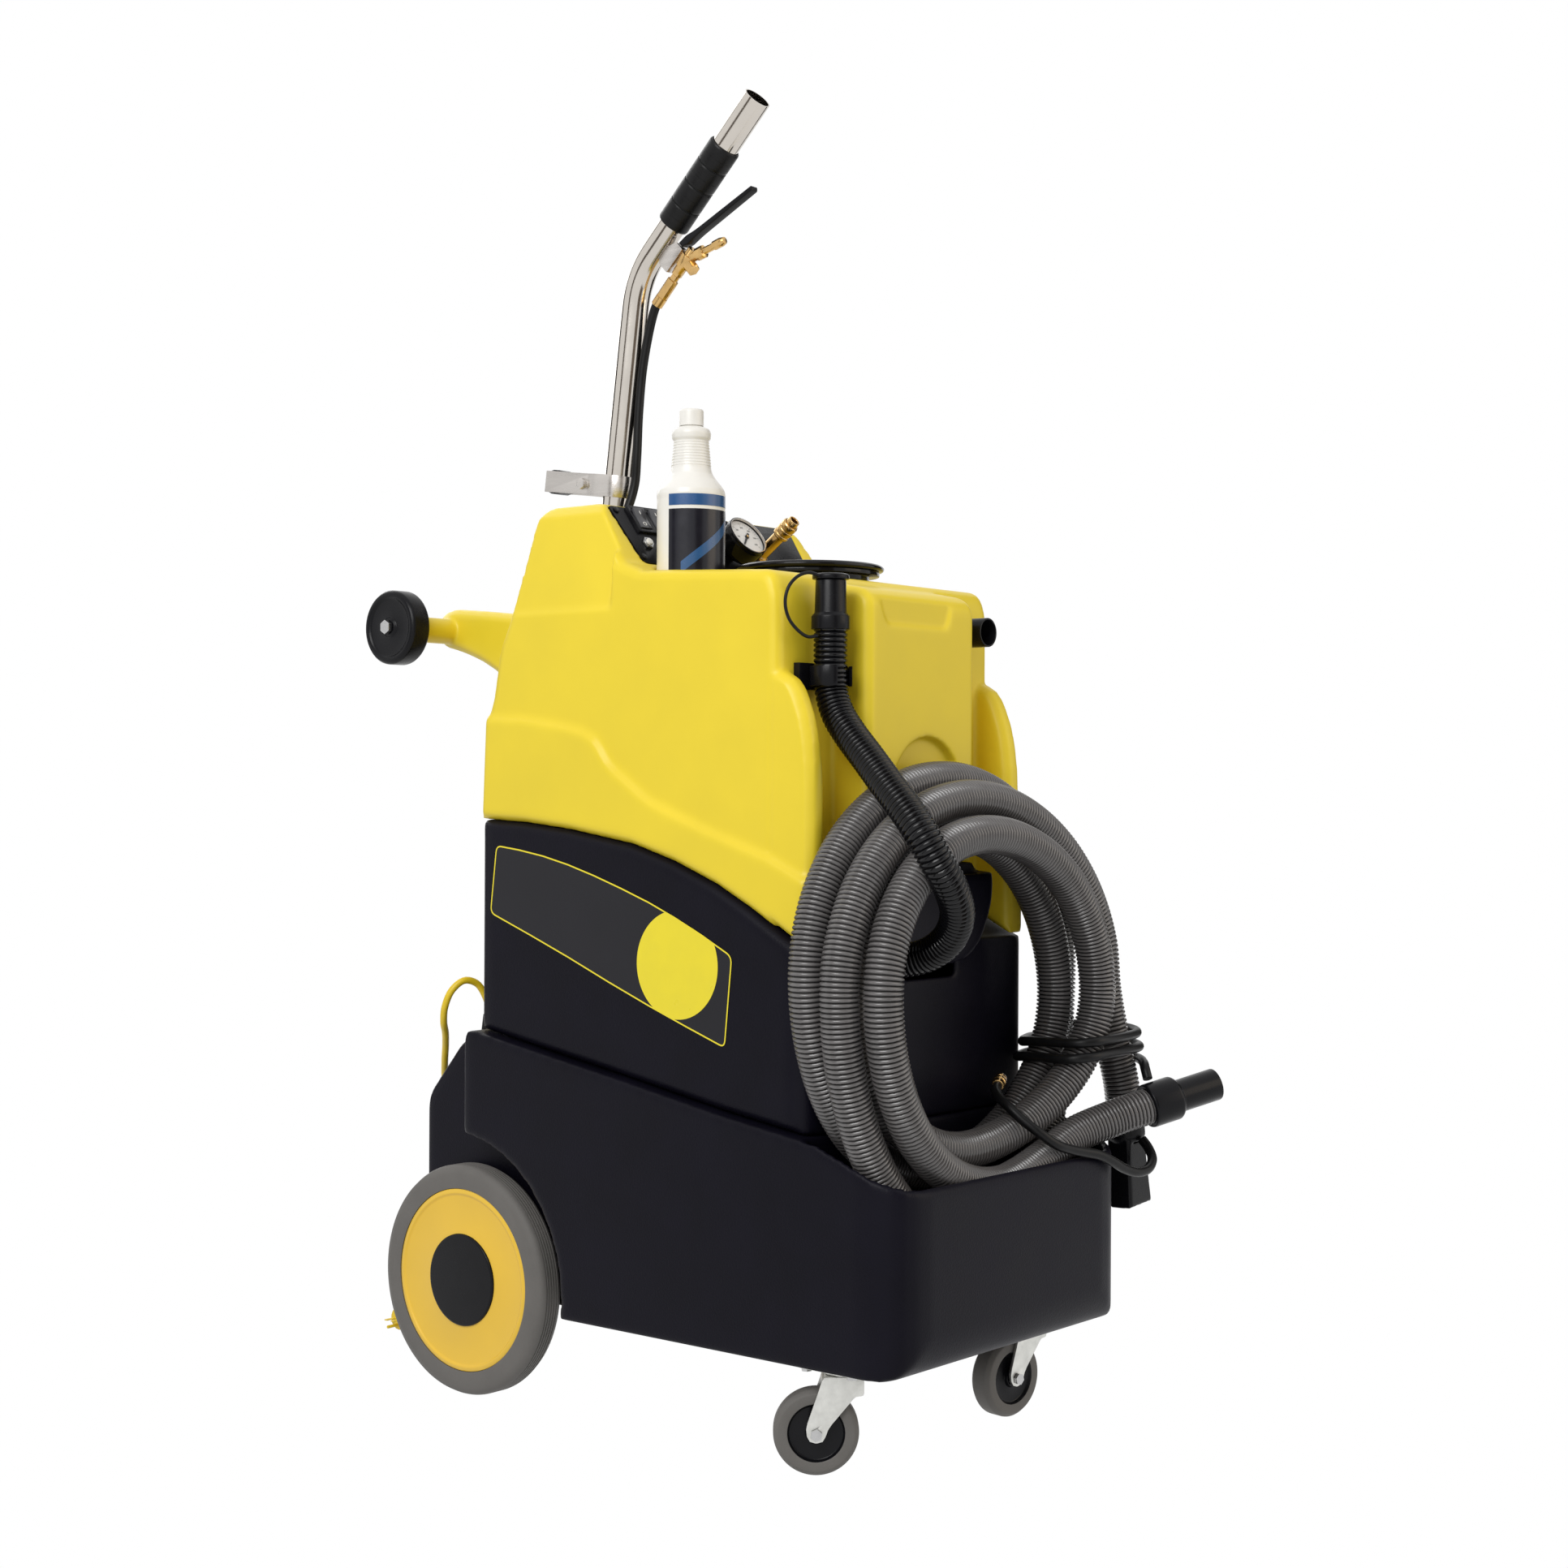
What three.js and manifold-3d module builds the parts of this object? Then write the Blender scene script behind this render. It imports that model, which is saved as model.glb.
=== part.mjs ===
// Walk-behind spot extractor: a wheeled chassis with a solution tank and a recovery tank on it,
// a stored wand, a coiled vacuum hose and a drain hose.
// Millimetres. +X is the machine's right, -Y its front (casters and hose basket), +Z up.
// Heights are from the ground. The origin is on the ground, in the middle of the footprint.
import * as THREE from 'three';
import { mergeVertices } from 'three/addons/utils/BufferGeometryUtils.js';
import Module from 'manifold-3d';

const wasm = await Module();
wasm.setup();

// ---------------------------------------------------------------- driving dimensions
const seatGap = 0.3;            // left between two pieces that touch
const runGap = 1.5;             // left beside a part that turns

const bodyHalf = 245;           // chassis, half width
const tankHalf = 232;           // solution tank, half width
const frontY = -488;            // front face of the chassis
const shellWall = 8;            // wall of the moulded shells
const baseBottom = 130;         // underside of the chassis
const tankFront = -340;         // front face of both tanks
const tankRear = 222;           // rear face of the solution tank
const wellFloor = 231;          // floor of the hose basket
const housingHalf = 186;        // half width of the housing between the rear wheels
const housingRear = 374;        // rear face of that housing

const wheelRadius = 152.4;      // rear wheel
const wheelWidth = 42;
const wheelFace = 232.6;        // outer face of the rear wheel, from the middle
const wheelY = 250;             // rear axle, from the machine's datum
const hubRadius = 121;
const wheelSides = 24;
const hubCentre = 61;           // black disc in the middle of the hub
const axleRadius = 12.5;
const archRadius = 198;

const casterRadius = 50.8;
const casterWidth = 31;
const casterInset = 57;          // caster's stem, in from the chassis side
const casterX = bodyHalf - casterInset;
const casterY = -364;
const casterTrail = 32;
const casterPlate = 5;
const casterLeftTurn = 40;      // degrees that each fork stands turned about its stem
const casterRightTurn = 82;

const deckZ = 1083;             // top of the recovery tank in front of the panel
const consoleZ = 1176;          // top of the console
const bandProud = 8;            // the lower band stands out this far from the sides
const tankStep = 2;             // the band is narrower than the solution tank by this on each side
const recoveryHalf = tankHalf - tankStep - bandProud;
const consoleInset = 27;
const consoleHalf = recoveryHalf - consoleInset;
const blockHalf = 113;          // middle block of the tank's front
const pillarWidth = 40;
const pillarIn = recoveryHalf + bandProud - pillarWidth;  // inner side of the corner pillars
const channelY = -284;          // back of the two channels beside the block
const pillarTop = 955;

const panelTop = [35, 1176];    // panel face, y and z at its top and bottom edge
const panelBottom = [-24, 1095];
const panelThick = 4;

const lidRadius = 96.5;
const lidMouth = 78;
const lidY = -155;
const ringHeight = 6;            // rim under the lid
const bottleRadius = 44.5;
const bottleX = -139;
const bottleY = -72;
const bottleFoot = 1058;

const barY = 389;               // rear handle bar
const barZ = 1027;
const barRadius = 18;
const lobeIn = 72;
const lobeOut = 132;
const rollerRadius = 50.8;
const rollerWidth = 33;
const rollerFace = 243;
const rollerPin = 6;

const wandRadius = 19;
const wandWall = 1.6;
const wandFoot = 500;
const wandGripZ = [1578, 1670]; // grip, lower and upper end

const hoseRadius = 24;          // vacuum hose over its ribs
const hoseRib = 2.2;
const hoseBore = 19;
const drainRadius = 21;
const drainRib = 3;
const drainBore = 15.5;
const leadRadius = 6.3;         // solution hose
const mainsRadius = 4.8;
const stubRadius = 19;          // vacuum inlet
const rearReach = barY + rollerRadius;

// ---------------------------------------------------------------- materials
const finish = (color, roughness, metalness = 0) =>
  new THREE.MeshStandardMaterial({ color, roughness, metalness });
const yellow = finish(0xf2d21b, 0.42);
const black = finish(0x1c1c20, 0.55);
const rubber = finish(0x77777a, 0.8);
const darkRubber = finish(0x17171a, 0.7);
const hosePlastic = finish(0x6f6f70, 0.5);
const steel = finish(0xb9bbbe, 0.3, 1);
const chrome = finish(0xd6d6d8, 0.12, 1);
const brass = finish(0xc69a3f, 0.3, 1);
const white = finish(0xf1f1ec, 0.4);
const clear = finish(0x9fb0b8, 0.1);

// ---------------------------------------------------------------- shape helpers
const X = new THREE.Vector3(1, 0, 0);
const Y = new THREE.Vector3(0, 1, 0);
const Z = new THREE.Vector3(0, 0, 1);
const at = (p) => new THREE.Vector3(...p);

const machine = new THREE.Group();
machine.position.y = -(frontY + rearReach) / 2;

// A welded, outward-facing triangle mesh of a closed geometry.
function weld(geometry) {
  const plain = geometry.clone();
  for (const name of ['normal', 'uv']) if (plain.getAttribute(name)) plain.deleteAttribute(name);
  const merged = mergeVertices(plain, 1e-4);
  const p = merged.getAttribute('position').array;
  const faces = [];
  let volume = 0;
  const index = merged.index.array;
  for (let i = 0; i < index.length; i += 3) {
    const [a, b, c] = [index[i], index[i + 1], index[i + 2]];
    if (a === b || b === c || a === c) continue;
    faces.push([a, b, c]);
    const [u, v, w] = [a, b, c].map((k) => new THREE.Vector3(p[3 * k], p[3 * k + 1], p[3 * k + 2]));
    volume += u.dot(v.cross(w));
  }
  if (volume < 0) faces.forEach((face) => face.reverse());
  return { points: Float32Array.from(p), faces };
}

function solid(geometry) {
  const { points, faces } = weld(geometry);
  const mesh = { numProp: 3, vertProperties: points, triVerts: Uint32Array.from(faces.flat()) };
  return new wasm.Manifold(new wasm.Mesh(mesh));
}

function geometryOf(body) {
  const mesh = body.getMesh();
  const geometry = new THREE.BufferGeometry();
  geometry.setAttribute('position', new THREE.BufferAttribute(mesh.vertProperties, 3));
  geometry.setIndex(new THREE.BufferAttribute(mesh.triVerts, 1));
  return geometry;
}

const joined = (...bodies) => bodies.reduce((all, body) => all.add(body));

function add(name, shape, look, parent = machine) {
  let geometry = shape;
  if (shape instanceof wasm.Manifold) {
    geometry = geometryOf(shape);
  } else {
    const { points, faces } = weld(shape);
    geometry = new THREE.BufferGeometry();
    geometry.setAttribute('position', new THREE.BufferAttribute(points, 3));
    geometry.setIndex(faces.flat());
  }
  geometry.computeVertexNormals();
  const mesh = new THREE.Mesh(geometry, look);
  mesh.name = name;
  parent.add(mesh);
  return mesh;
}

// A closed outline whose corners are rounded; radius is one value or one per corner.
function outline(points, radius = 0, curve = 2) {
  const radii = points.map((_, i) => (Array.isArray(radius) ? radius[i] : radius));
  return { points, radii, curve };
}

// The outline's points, counter-clockwise, moved inwards by inset.
function loopOf({ points, radii, curve }, inset) {
  const corners = points.map((p) => new THREE.Vector2(...p));
  const rounds = [...radii];
  if (THREE.ShapeUtils.area(corners) < 0) {
    corners.reverse();
    rounds.reverse();
  }
  const count = corners.length;
  const inward = corners.map((p, i) => {
    const way = corners[(i + 1) % count].clone().sub(p).normalize();
    return new THREE.Vector2(-way.y, way.x);
  });
  const moved = corners.map((p, i) => {
    const [n, m] = [inward[(i + count - 1) % count], inward[i]];
    return p.clone().addScaledVector(n.clone().add(m), inset / (1 + n.dot(m)));
  });
  return moved.flatMap((p, i) => {
    if (!rounds[i]) return [p];
    const back = moved[(i + count - 1) % count].clone().sub(p);
    const ahead = moved[(i + 1) % count].clone().sub(p);
    const reach = Math.min(Math.max(rounds[i] - inset * 0.6, 0.6), back.length() * 0.48, ahead.length() * 0.48);
    const [from, to] = [p.clone().add(back.setLength(reach)), p.clone().add(ahead.setLength(reach))];
    return Array.from({ length: curve + 1 }, (_, k) => {
      const t = k / curve;
      return from.clone().multiplyScalar((1 - t) ** 2).addScaledVector(p, 2 * t * (1 - t)).addScaledVector(to, t * t);
    });
  });
}

// An outline pushed along +Z from low to high, its two rims rounded by bevel.
function slab(shape, low, high, bevel = 0) {
  const soft = bevel * 0.29;
  const simple = [[bevel, low], [0, low + bevel], [0, high - bevel], [bevel, high]];
  const levels = bevel > 9.5
    ? [[bevel, low], [soft, low + soft], [0, low + bevel], [0, high - bevel], [soft, high - soft], [bevel, high]]
    : simple.slice(bevel ? 0 : 1, bevel ? 4 : 3);
  const loops = levels.map(([inset]) => loopOf(shape, inset));
  const count = loops[0].length;
  const places = loops.flatMap((loop, i) => loop.flatMap((p) => [p.x, p.y, levels[i][1]]));
  const index = [];
  for (let i = 0; i + 1 < loops.length; i += 1) {
    for (let k = 0; k < count; k += 1) {
      const [a, b] = [i * count + k, i * count + ((k + 1) % count)];
      index.push(a, b, b + count, a, b + count, a + count);
    }
  }
  const last = (loops.length - 1) * count;
  THREE.ShapeUtils.triangulateShape(loops[0], []).forEach(([a, b, c]) => index.push(c, b, a));
  THREE.ShapeUtils.triangulateShape(loops[loops.length - 1], [])
    .forEach(([a, b, c]) => index.push(a + last, b + last, c + last));
  const geometry = new THREE.BufferGeometry();
  geometry.setAttribute('position', new THREE.Float32BufferAttribute(places, 3));
  geometry.setIndex(index);
  return geometry;
}

// A slab laid along one axis. The outline's coordinates are (y, z) along x, (x, z) along y
// and (x, y) along z.
function prism(axis, shape, low, high, bevel = 0) {
  const geometry = slab(shape, low, high, bevel);
  const basis = new THREE.Matrix4();
  if (axis === 'x') basis.makeBasis(Y, Z, X);
  if (axis === 'y') {
    geometry.translate(0, 0, -low - high);
    basis.makeBasis(X, Z, Y.clone().negate());
  }
  return geometry.applyMatrix4(basis);
}

function block([x0, x1], [y0, y1], [z0, z1]) {
  const geometry = new THREE.BoxGeometry(x1 - x0, y1 - y0, z1 - z0);
  return geometry.translate((x0 + x1) / 2, (y0 + y1) / 2, (z0 + z1) / 2);
}

// Points of a circle or part of one, for an outline.
function arc(cx, cy, r, from, to, steps) {
  return Array.from({ length: steps + 1 }, (_, i) => {
    const a = THREE.MathUtils.degToRad(from + ((to - from) * i) / steps);
    return [cx + r * Math.cos(a), cy + r * Math.sin(a)];
  });
}

// Turns geometry that stands along +Y so that it stands along direction, from a foot point.
function stand(geometry, foot, direction) {
  const turn = new THREE.Quaternion().setFromUnitVectors(Y, at(direction).normalize());
  return geometry.applyQuaternion(turn).translate(...foot);
}

// A turned piece: profile of [radius, height] pairs from axis to axis, or closed on itself.
function turned(profile, foot, direction, sides = 16) {
  const points = profile.map(([r, h]) => new THREE.Vector2(r, h));
  return stand(new THREE.LatheGeometry(points, sides), foot, direction);
}

function rod(radius, from, to, sides = 14) {
  const reach = at(to).sub(at(from));
  const length = reach.length();
  return turned([[0, 0], [radius, 0], [radius, length], [0, length]], from, reach.toArray(), sides);
}

function ring(outer, inner, height, foot, direction, sides = 24) {
  const profile = [[inner, 0], [outer, 0], [outer, height], [inner, height], [inner, 0]];
  return turned(profile, foot, direction, sides);
}

const curveOf = (points) => new THREE.CatmullRomCurve3(points.map(at), false, 'centripetal');

// A solid cord of round section along a curve.
function cord(points, radius, sides, steps) {
  const section = new THREE.Shape();
  section.setFromPoints(arc(0, 0, radius, 0, 360 - 360 / sides, sides - 1)
    .map((p) => new THREE.Vector2(...p)));
  return new THREE.ExtrudeGeometry(section, {
    steps, curveSegments: 1, bevelEnabled: false, extrudePath: curveOf(points),
  });
}

// A hose with ribs outside and an open bore. Each rib is a crest ring and a root ring.
function ribbedHose(points, { radius, rib, bore, ribs, sides = 8, boreEvery = 5 }) {
  const curve = curveOf(points);
  curve.arcLengthDivisions = 1200;
  const rings = 2 * ribs;
  const frames = curve.computeFrenetFrames(rings, false);
  const places = [];
  const ringAt = (i, r) => {
    const centre = curve.getPointAt(i / rings);
    const first = places.length / 3;
    for (let k = 0; k < sides; k += 1) {
      const a = (2 * Math.PI * k) / sides;
      const p = centre.clone()
        .addScaledVector(frames.normals[i], r * Math.cos(a))
        .addScaledVector(frames.binormals[i], r * Math.sin(a));
      places.push(...p.toArray());
    }
    return first;
  };
  const outer = [];
  for (let i = 0; i <= rings; i += 1) outer.push(ringAt(i, i % 2 ? radius : radius - rib));
  const inner = [];
  for (let i = rings; i > 0; i -= 2 * boreEvery) inner.push(ringAt(i, bore));
  inner.push(ringAt(0, bore));
  const chain = [...outer, ...inner, outer[0]];
  const index = [];
  for (let i = 0; i + 1 < chain.length; i += 1) {
    for (let k = 0; k < sides; k += 1) {
      const m = (k + 1) % sides;
      index.push(chain[i] + k, chain[i] + m, chain[i + 1] + m);
      index.push(chain[i] + k, chain[i + 1] + m, chain[i + 1] + k);
    }
  }
  const geometry = new THREE.BufferGeometry();
  geometry.setAttribute('position', new THREE.Float32BufferAttribute(places, 3));
  geometry.setIndex(index);
  return geometry;
}

// Least distance between stretches of a tube that lie further apart along it than one bend.
function leastSelfGap(points, radius) {
  const curve = curveOf(points);
  curve.arcLengthDivisions = 1200;
  const length = curve.getLength();
  const count = Math.round(length / 6);
  const spots = Array.from({ length: count + 1 }, (_, i) => curve.getPointAt(i / count));
  const apart = Math.ceil((8 * radius) / 6);
  let least = Infinity;
  let where = null;
  for (let i = 0; i < spots.length; i += 1) {
    for (let j = i + apart; j < spots.length; j += 1) {
      const d = spots[i].distanceTo(spots[j]);
      if (d < least) {
        least = d;
        where = [spots[i], spots[j]];
      }
    }
  }
  return { gap: least - 2 * radius, length, where };
}

// ---------------------------------------------------------------- chassis
// Seam between the chassis and the solution tank, and between the two tanks, as [y, z].
const seam = [[frontY, 345], [-364, 393], [-213, 415], [-54, 443], [tankRear, 489]];
const tankSeam = [
  [tankFront, 617], [-328, 619], [-294, 637], [-245, 665], [-193, 691], [-122, 718], [-52, 738], [60, 755],
  [140, 763], [tankRear, 767],
];
const heightOn = (line, y) => {
  const i = Math.max(1, line.findIndex((p) => p[0] >= y));
  const [[y0, z0], [y1, z1]] = [line[i - 1], line[i]];
  return z0 + ((z1 - z0) * (y - y0)) / (y1 - y0);
};
const seamInside = [[tankFront, heightOn(seam, tankFront)], ...seam.slice(2)];

function baseChassis() {
  const housingTop = 470;
  const side = outline([
    [-474, baseBottom], [frontY, 160], ...seam.slice(0, 4), [238, 491], [238, baseBottom],
  ], [20, 20, 5, 0, 0, 0, 20, 0]);
  const plan = outline([
    [-bodyHalf, frontY], [bodyHalf, frontY], [bodyHalf, 240], [-bodyHalf, 240],
  ], [62, 62, 18, 18], 5);
  const rear = outline([
    [200, baseBottom], [housingRear, baseBottom], [housingRear, 385], [300, housingTop], [200, housingTop],
  ], [0, 14, 16, 16, 0]);
  let body = solid(prism('x', side, -bodyHalf, bodyHalf))
    .intersect(solid(prism('z', plan, baseBottom - 5, 500)));
  body = body.add(solid(prism('x', rear, -housingHalf, housingHalf, 12)));
  for (const s of [-1, 1]) {
    const arch = rod(archRadius, [s * housingHalf, wheelY, wheelRadius], [s * 260, wheelY, wheelRadius], 40);
    body = body.subtract(solid(arch));
  }
  const well = outline([
    [-bodyHalf + shellWall, frontY + 12], [bodyHalf - shellWall, frontY + 12],
    [bodyHalf - shellWall, tankFront - 0.5], [-bodyHalf + shellWall, tankFront - 0.5],
  ], [54, 54, 14, 14], 4);
  body = body.subtract(solid(prism('z', well, wellFloor, 520)));
  const hollow = outline([
    [tankFront + 12, baseBottom + shellWall], [200, baseBottom + shellWall],
    [housingRear - shellWall, baseBottom + shellWall],
    [housingRear - shellWall, 378], [298, housingTop - shellWall],
    [tankRear - shellWall, housingTop - shellWall], [tankRear - shellWall, 520], [tankFront + 12, 520],
  ]);
  const inside = housingHalf - shellWall;
  body = body.subtract(solid(prism('x', hollow, -inside, inside)));
  // The sides are hollow too, ahead of the wheel arches and above them, under a ledge for the tank.
  const archFront = wheelY - archRadius - shellWall;
  const archTop = wheelRadius + archRadius + shellWall;
  const ledge = (y) => [y, heightOn(seam, y) - shellWall];
  const sideRoom = outline([
    [tankFront + 12, baseBottom + shellWall], [archFront, baseBottom + shellWall], [archFront, archTop],
    [tankRear - 4, archTop], ledge(tankRear - 4), ledge(-54), ledge(-213), ledge(tankFront + 12),
  ]);
  const sideHalf = bodyHalf - shellWall;
  body = body.subtract(solid(prism('x', sideRoom, -sideHalf, sideHalf)));
  const floorRoom = outline([
    [-bodyHalf + shellWall, frontY + 14], [bodyHalf - shellWall, frontY + 14],
    [bodyHalf - shellWall, tankFront + 20], [-bodyHalf + shellWall, tankFront + 20],
  ], [54, 54, 0, 0], 4);
  body = body.subtract(solid(prism('z', floorRoom, baseBottom + shellWall, wellFloor - shellWall)));
  const bore = rod(axleRadius + seatGap, [-260, wheelY, wheelRadius], [260, wheelY, wheelRadius], 24);
  return body.subtract(solid(bore));
}

// ---------------------------------------------------------------- solution tank
const scoopX = [-98, 128];
const scoopTop = 704;
const scoopFoot = 588;
const scoopReach = 21;
function solutionTank() {
  const lift = (line, d) => line.map(([y, z]) => [y, z + d]);
  const side = [...lift(seamInside, seatGap), ...lift(tankSeam, -seatGap).reverse()];
  let body = solid(prism('x', outline(side), -tankHalf, tankHalf, 9));
  const plan = outline([
    [-tankHalf, tankFront], [tankHalf, tankFront], [tankHalf, tankRear], [-tankHalf, tankRear],
  ], [30, 30, 26, 26], 4);
  body = body.intersect(solid(prism('z', plan, 300, 800)));
  // Upper front: the tank rises behind the coil to the underside of the yellow block.
  const chin = outline([
    [tankFront, 560], [channelY - 2, 560], [channelY - 2, 716 - seatGap], [tankFront, 716 - seatGap],
  ]);
  body = body.add(solid(prism('x', chin, -blockHalf + 2, blockHalf - 2)));
  // Fill scoop, open upwards.
  const [left, right] = scoopX;
  const scoop = outline([
    [left, scoopTop], [left, 665], [left + 25, 614], [left + 65, scoopFoot], [right - 65, scoopFoot],
    [right - 25, 614], [right, 665], [right, scoopTop],
  ], [4, 20, 20, 20, 20, 20, 20, 4]);
  body = body.add(solid(prism('y', scoop, tankFront - scoopReach, tankFront + 4, 5)));
  const hollow = outline([
    [tankFront + shellWall, heightOn(seam, tankFront) + 14], [tankRear - shellWall, 505],
    [tankRear - shellWall, 750], [-52, 722], [-193, 675], [-285, 625], [tankFront + shellWall, 590],
  ]);
  const inside = tankHalf - shellWall;
  body = body.subtract(solid(prism('x', hollow, -inside, inside)));
  const mouthY = [tankFront - scoopReach + 6, tankFront - 3];
  body = body.subtract(solid(block([left + 28, right - 28], mouthY, [630, 750])));
  body = body.subtract(solid(block([left + 60, right - 60], [mouthY[0] + 2, tankFront + 30], [572, 640])));
  return body.subtract(solid(rod(drainRadius - 6 + seatGap, drainFoot, drainWallEnd, 20)));
}

// ---------------------------------------------------------------- recovery tank
const plateDepth = 4;
function recoveryTank() {
  const lower = tankSeam.filter(([y]) => y > channelY && y < tankRear);
  const flat = lower.map(() => 0);
  const foot = [channelY, heightOn(tankSeam, channelY) + seatGap];
  const rearLine = [
    [tankRear - 6, 767], [217, 905], [209, 927], [197, 991], [176, 1033], [160, 1096],
    [150, 1149], [140, consoleZ],
  ];
  const main = outline([
    foot, ...lower, ...rearLine,
    panelTop, panelBottom, [-56, deckZ], [channelY + 10, 1072], [channelY, 1040],
  ], [0, ...flat, 0, 0, 0, 10, 20, 0, 0, 26, 10, 6, 0, 22, 14], 3);
  let body = solid(prism('x', main, -recoveryHalf, recoveryHalf, 12));
  // The console above the deck is narrower, with raked shoulders.
  for (const s of [-1, 1]) {
    const rake = outline([
      [s * (recoveryHalf + 20), 1005], [s * (recoveryHalf - 4), 1040], [s * (consoleHalf + 3), consoleZ - 14],
      [s * (consoleHalf - 12), consoleZ + 4], [s * (consoleHalf - 12), 1230], [s * (recoveryHalf + 20), 1230],
    ]);
    body = body.subtract(solid(prism('y', rake, -10, 300)));
  }
  // Lower band, standing proud below a line that steps down towards the front.
  const band = outline([
    foot, ...lower, [tankRear, 767], [tankRear - 6, 905], [147, 902], [58, 890], [10, 877], [-12, 842],
    [-85, 794], [-179, 760], [channelY, 727],
  ], [0, ...flat, 0, 6, 0, 20, 24, 18, 20, 0, 0], 2);
  body = body.add(solid(prism('x', band, -recoveryHalf - bandProud, recoveryHalf + bandProud, 8)));
  // Middle block of the front and the two corner pillars.
  const face = outline([
    [channelY + 30, 716], [tankFront, 716], [tankFront, 1040], [-326, 1054], [channelY + 20, 1066],
  ], [0, 6, 26, 16, 0]);
  body = body.add(solid(prism('x', face, -blockHalf, blockHalf, 9)));
  const pillar = outline([
    [channelY + 14, 655], [-310, 632], [tankFront + 2, 618], [tankFront + 2, pillarTop - 120],
    [tankFront + 12, pillarTop - 60], [tankFront + 34, pillarTop - 14], [channelY + 14, pillarTop],
  ], [0, 0, 4, 30, 24, 16, 0]);
  const pillarFoot = outline([
    [channelY + 14, 655], [-310, 632], [tankFront + 2, 618], [tankFront + 2, 702], [channelY + 14, 732],
  ], [0, 0, 4, 0, 0]);
  for (const s of [-1, 1]) {
    const span = (reach) => [s * pillarIn, s * reach].sort((a, b) => a - b);
    body = body.add(solid(prism('x', pillar, ...span(recoveryHalf), 9)));
    body = body.add(solid(prism('x', pillarFoot, ...span(recoveryHalf + bandProud), 8)));
  }
  // Panel pocket, lid mouth, bottle pocket and its slot.
  const pocket = consolePocket();
  body = body.subtract(pocket);
  body = body.subtract(solid(rod(lidMouth, [0, lidY, 1000], [0, lidY, 1200], 32)));
  body = body.subtract(solid(rod(bottleRadius + 1.5, [bottleX, bottleY, bottleFoot - seatGap],
    [bottleX, bottleY, 1200], 28)));
  body = body.subtract(solid(prism('y', outline([
    [bottleX - 6, bottleFoot + 4], [bottleX + 6, bottleFoot + 4], [bottleX + 9, 1100], [bottleX - 9, 1100],
  ]), bottleY - bottleRadius - 16, bottleY)));
  // Half-round hand recess and the shallow plain panel above it.
  const grip = [...arc(10, 802, 72, 0, 180, 14), [-62, 700], [82, 700]];
  body = body.subtract(solid(prism('y', outline(grip), tankFront - 10, tankFront + 12)));
  const plate = outline([[-92, 1042], [62, 1042], [50, 1010], [-76, 1010]], 8);
  body = body.subtract(solid(prism('y', plate, tankFront - 10, tankFront + plateDepth)));
  // Inside, open through the lid's mouth.
  const hollow = outline([
    [channelY + shellWall, 660], [-193, 702], [-52, 750], [tankRear - 20, 778], [200, 905],
    [178, 1000], [110, 1030], [-30, 1040], [channelY + shellWall + 8, 1050],
  ]);
  const inside = recoveryHalf - shellWall - 4;
  let room = solid(prism('x', hollow, -inside, inside));
  const blockRoom = block([-blockHalf + 12, blockHalf - 12], [tankFront + 24, channelY + 20], [740, 1030]);
  room = room.add(solid(blockRoom));
  const consoleRoom = outline([[62, 1020], [152, 1020], [134, 1160], [88, 1160]], [0, 0, 8, 8]);
  const consoleInside = consoleHalf - 24;
  room = room.add(solid(prism('x', consoleRoom, -consoleInside, consoleInside)));
  const wall = bottleRadius + 10;
  room = room.subtract(solid(rod(wall, [bottleX, bottleY, bottleFoot - 14], [bottleX, bottleY, 1100], 24)));
  body = body.subtract(room);
  // Groove down the back for the wand.
  const groove = outline(arc(0, 0, wandRadius + 12, 0, 360 - 15, 23));
  const slot = solid(prism('z', groove, 0, 700)).transform(wandLean(760));
  body = body.subtract(slot);
  body = body.subtract(solid(rod(stubRadius + seatGap, stubFoot, [stubFoot[0], channelY + 40, stubFoot[2]], 24)));
  return body;
}

// ---------------------------------------------------------------- control panel
const rise = at([0, panelTop[0] - panelBottom[0], panelTop[1] - panelBottom[1]]);
const panelHeight = rise.length();
const up = rise.clone().normalize();
const out = new THREE.Vector3().crossVectors(X, up);
const panelMiddle = at([0, (panelTop[0] + panelBottom[0]) / 2, (panelTop[1] + panelBottom[1]) / 2]);
// A point given as across, up the panel's face and out of it.
const onPanel = (across, upward, outward) => panelMiddle.clone()
  .addScaledVector(X, across).addScaledVector(up, upward).addScaledVector(out, outward);
const panelBasis = new THREE.Matrix4().makeBasis(X, up, out).setPosition(panelMiddle);
const panelInset = 13;
const panelTopHalf = consoleHalf - panelInset;
const panelFootHalf = panelTopHalf - 10;
function panelPlate(low, high, grow = 0) {
  const h = panelHeight / 2 - 3 + grow;
  const shape = outline([
    [-panelFootHalf - grow, -h], [panelFootHalf + grow, -h], [panelTopHalf + grow, h], [-panelTopHalf - grow, h],
  ], 5);
  return slab(shape, low, high).applyMatrix4(panelBasis);
}
function consolePocket() {
  return solid(panelPlate(-26, 30, seatGap));
}
function controlPanel() {
  let body = solid(panelPlate(-panelThick, 0));
  const bezel = solid(switchBox(rockerPitch + rockerSize[0] + 12, rockerSize[1] + 12, -2, 5, 3));
  body = body.add(bezel);
  for (const s of [-1, 1]) {
    const hole = switchBox(rockerSize[0] + 1.2, rockerSize[1] + 2.6, -20, 20, 1.5, s * rockerPitch / 2);
    body = body.subtract(solid(hole));
  }
  body = body.subtract(solid(panelRod(breakerRadius + 0.6, breakerX, breakerUp, -20, 20)));
  body = body.subtract(solid(panelRod(6 + seatGap, gaugeX, gaugeUp, -20, 20)));
  return body.subtract(solid(panelRod(8 + seatGap, couplerX, couplerUp, -20, 20)));
}
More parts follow.
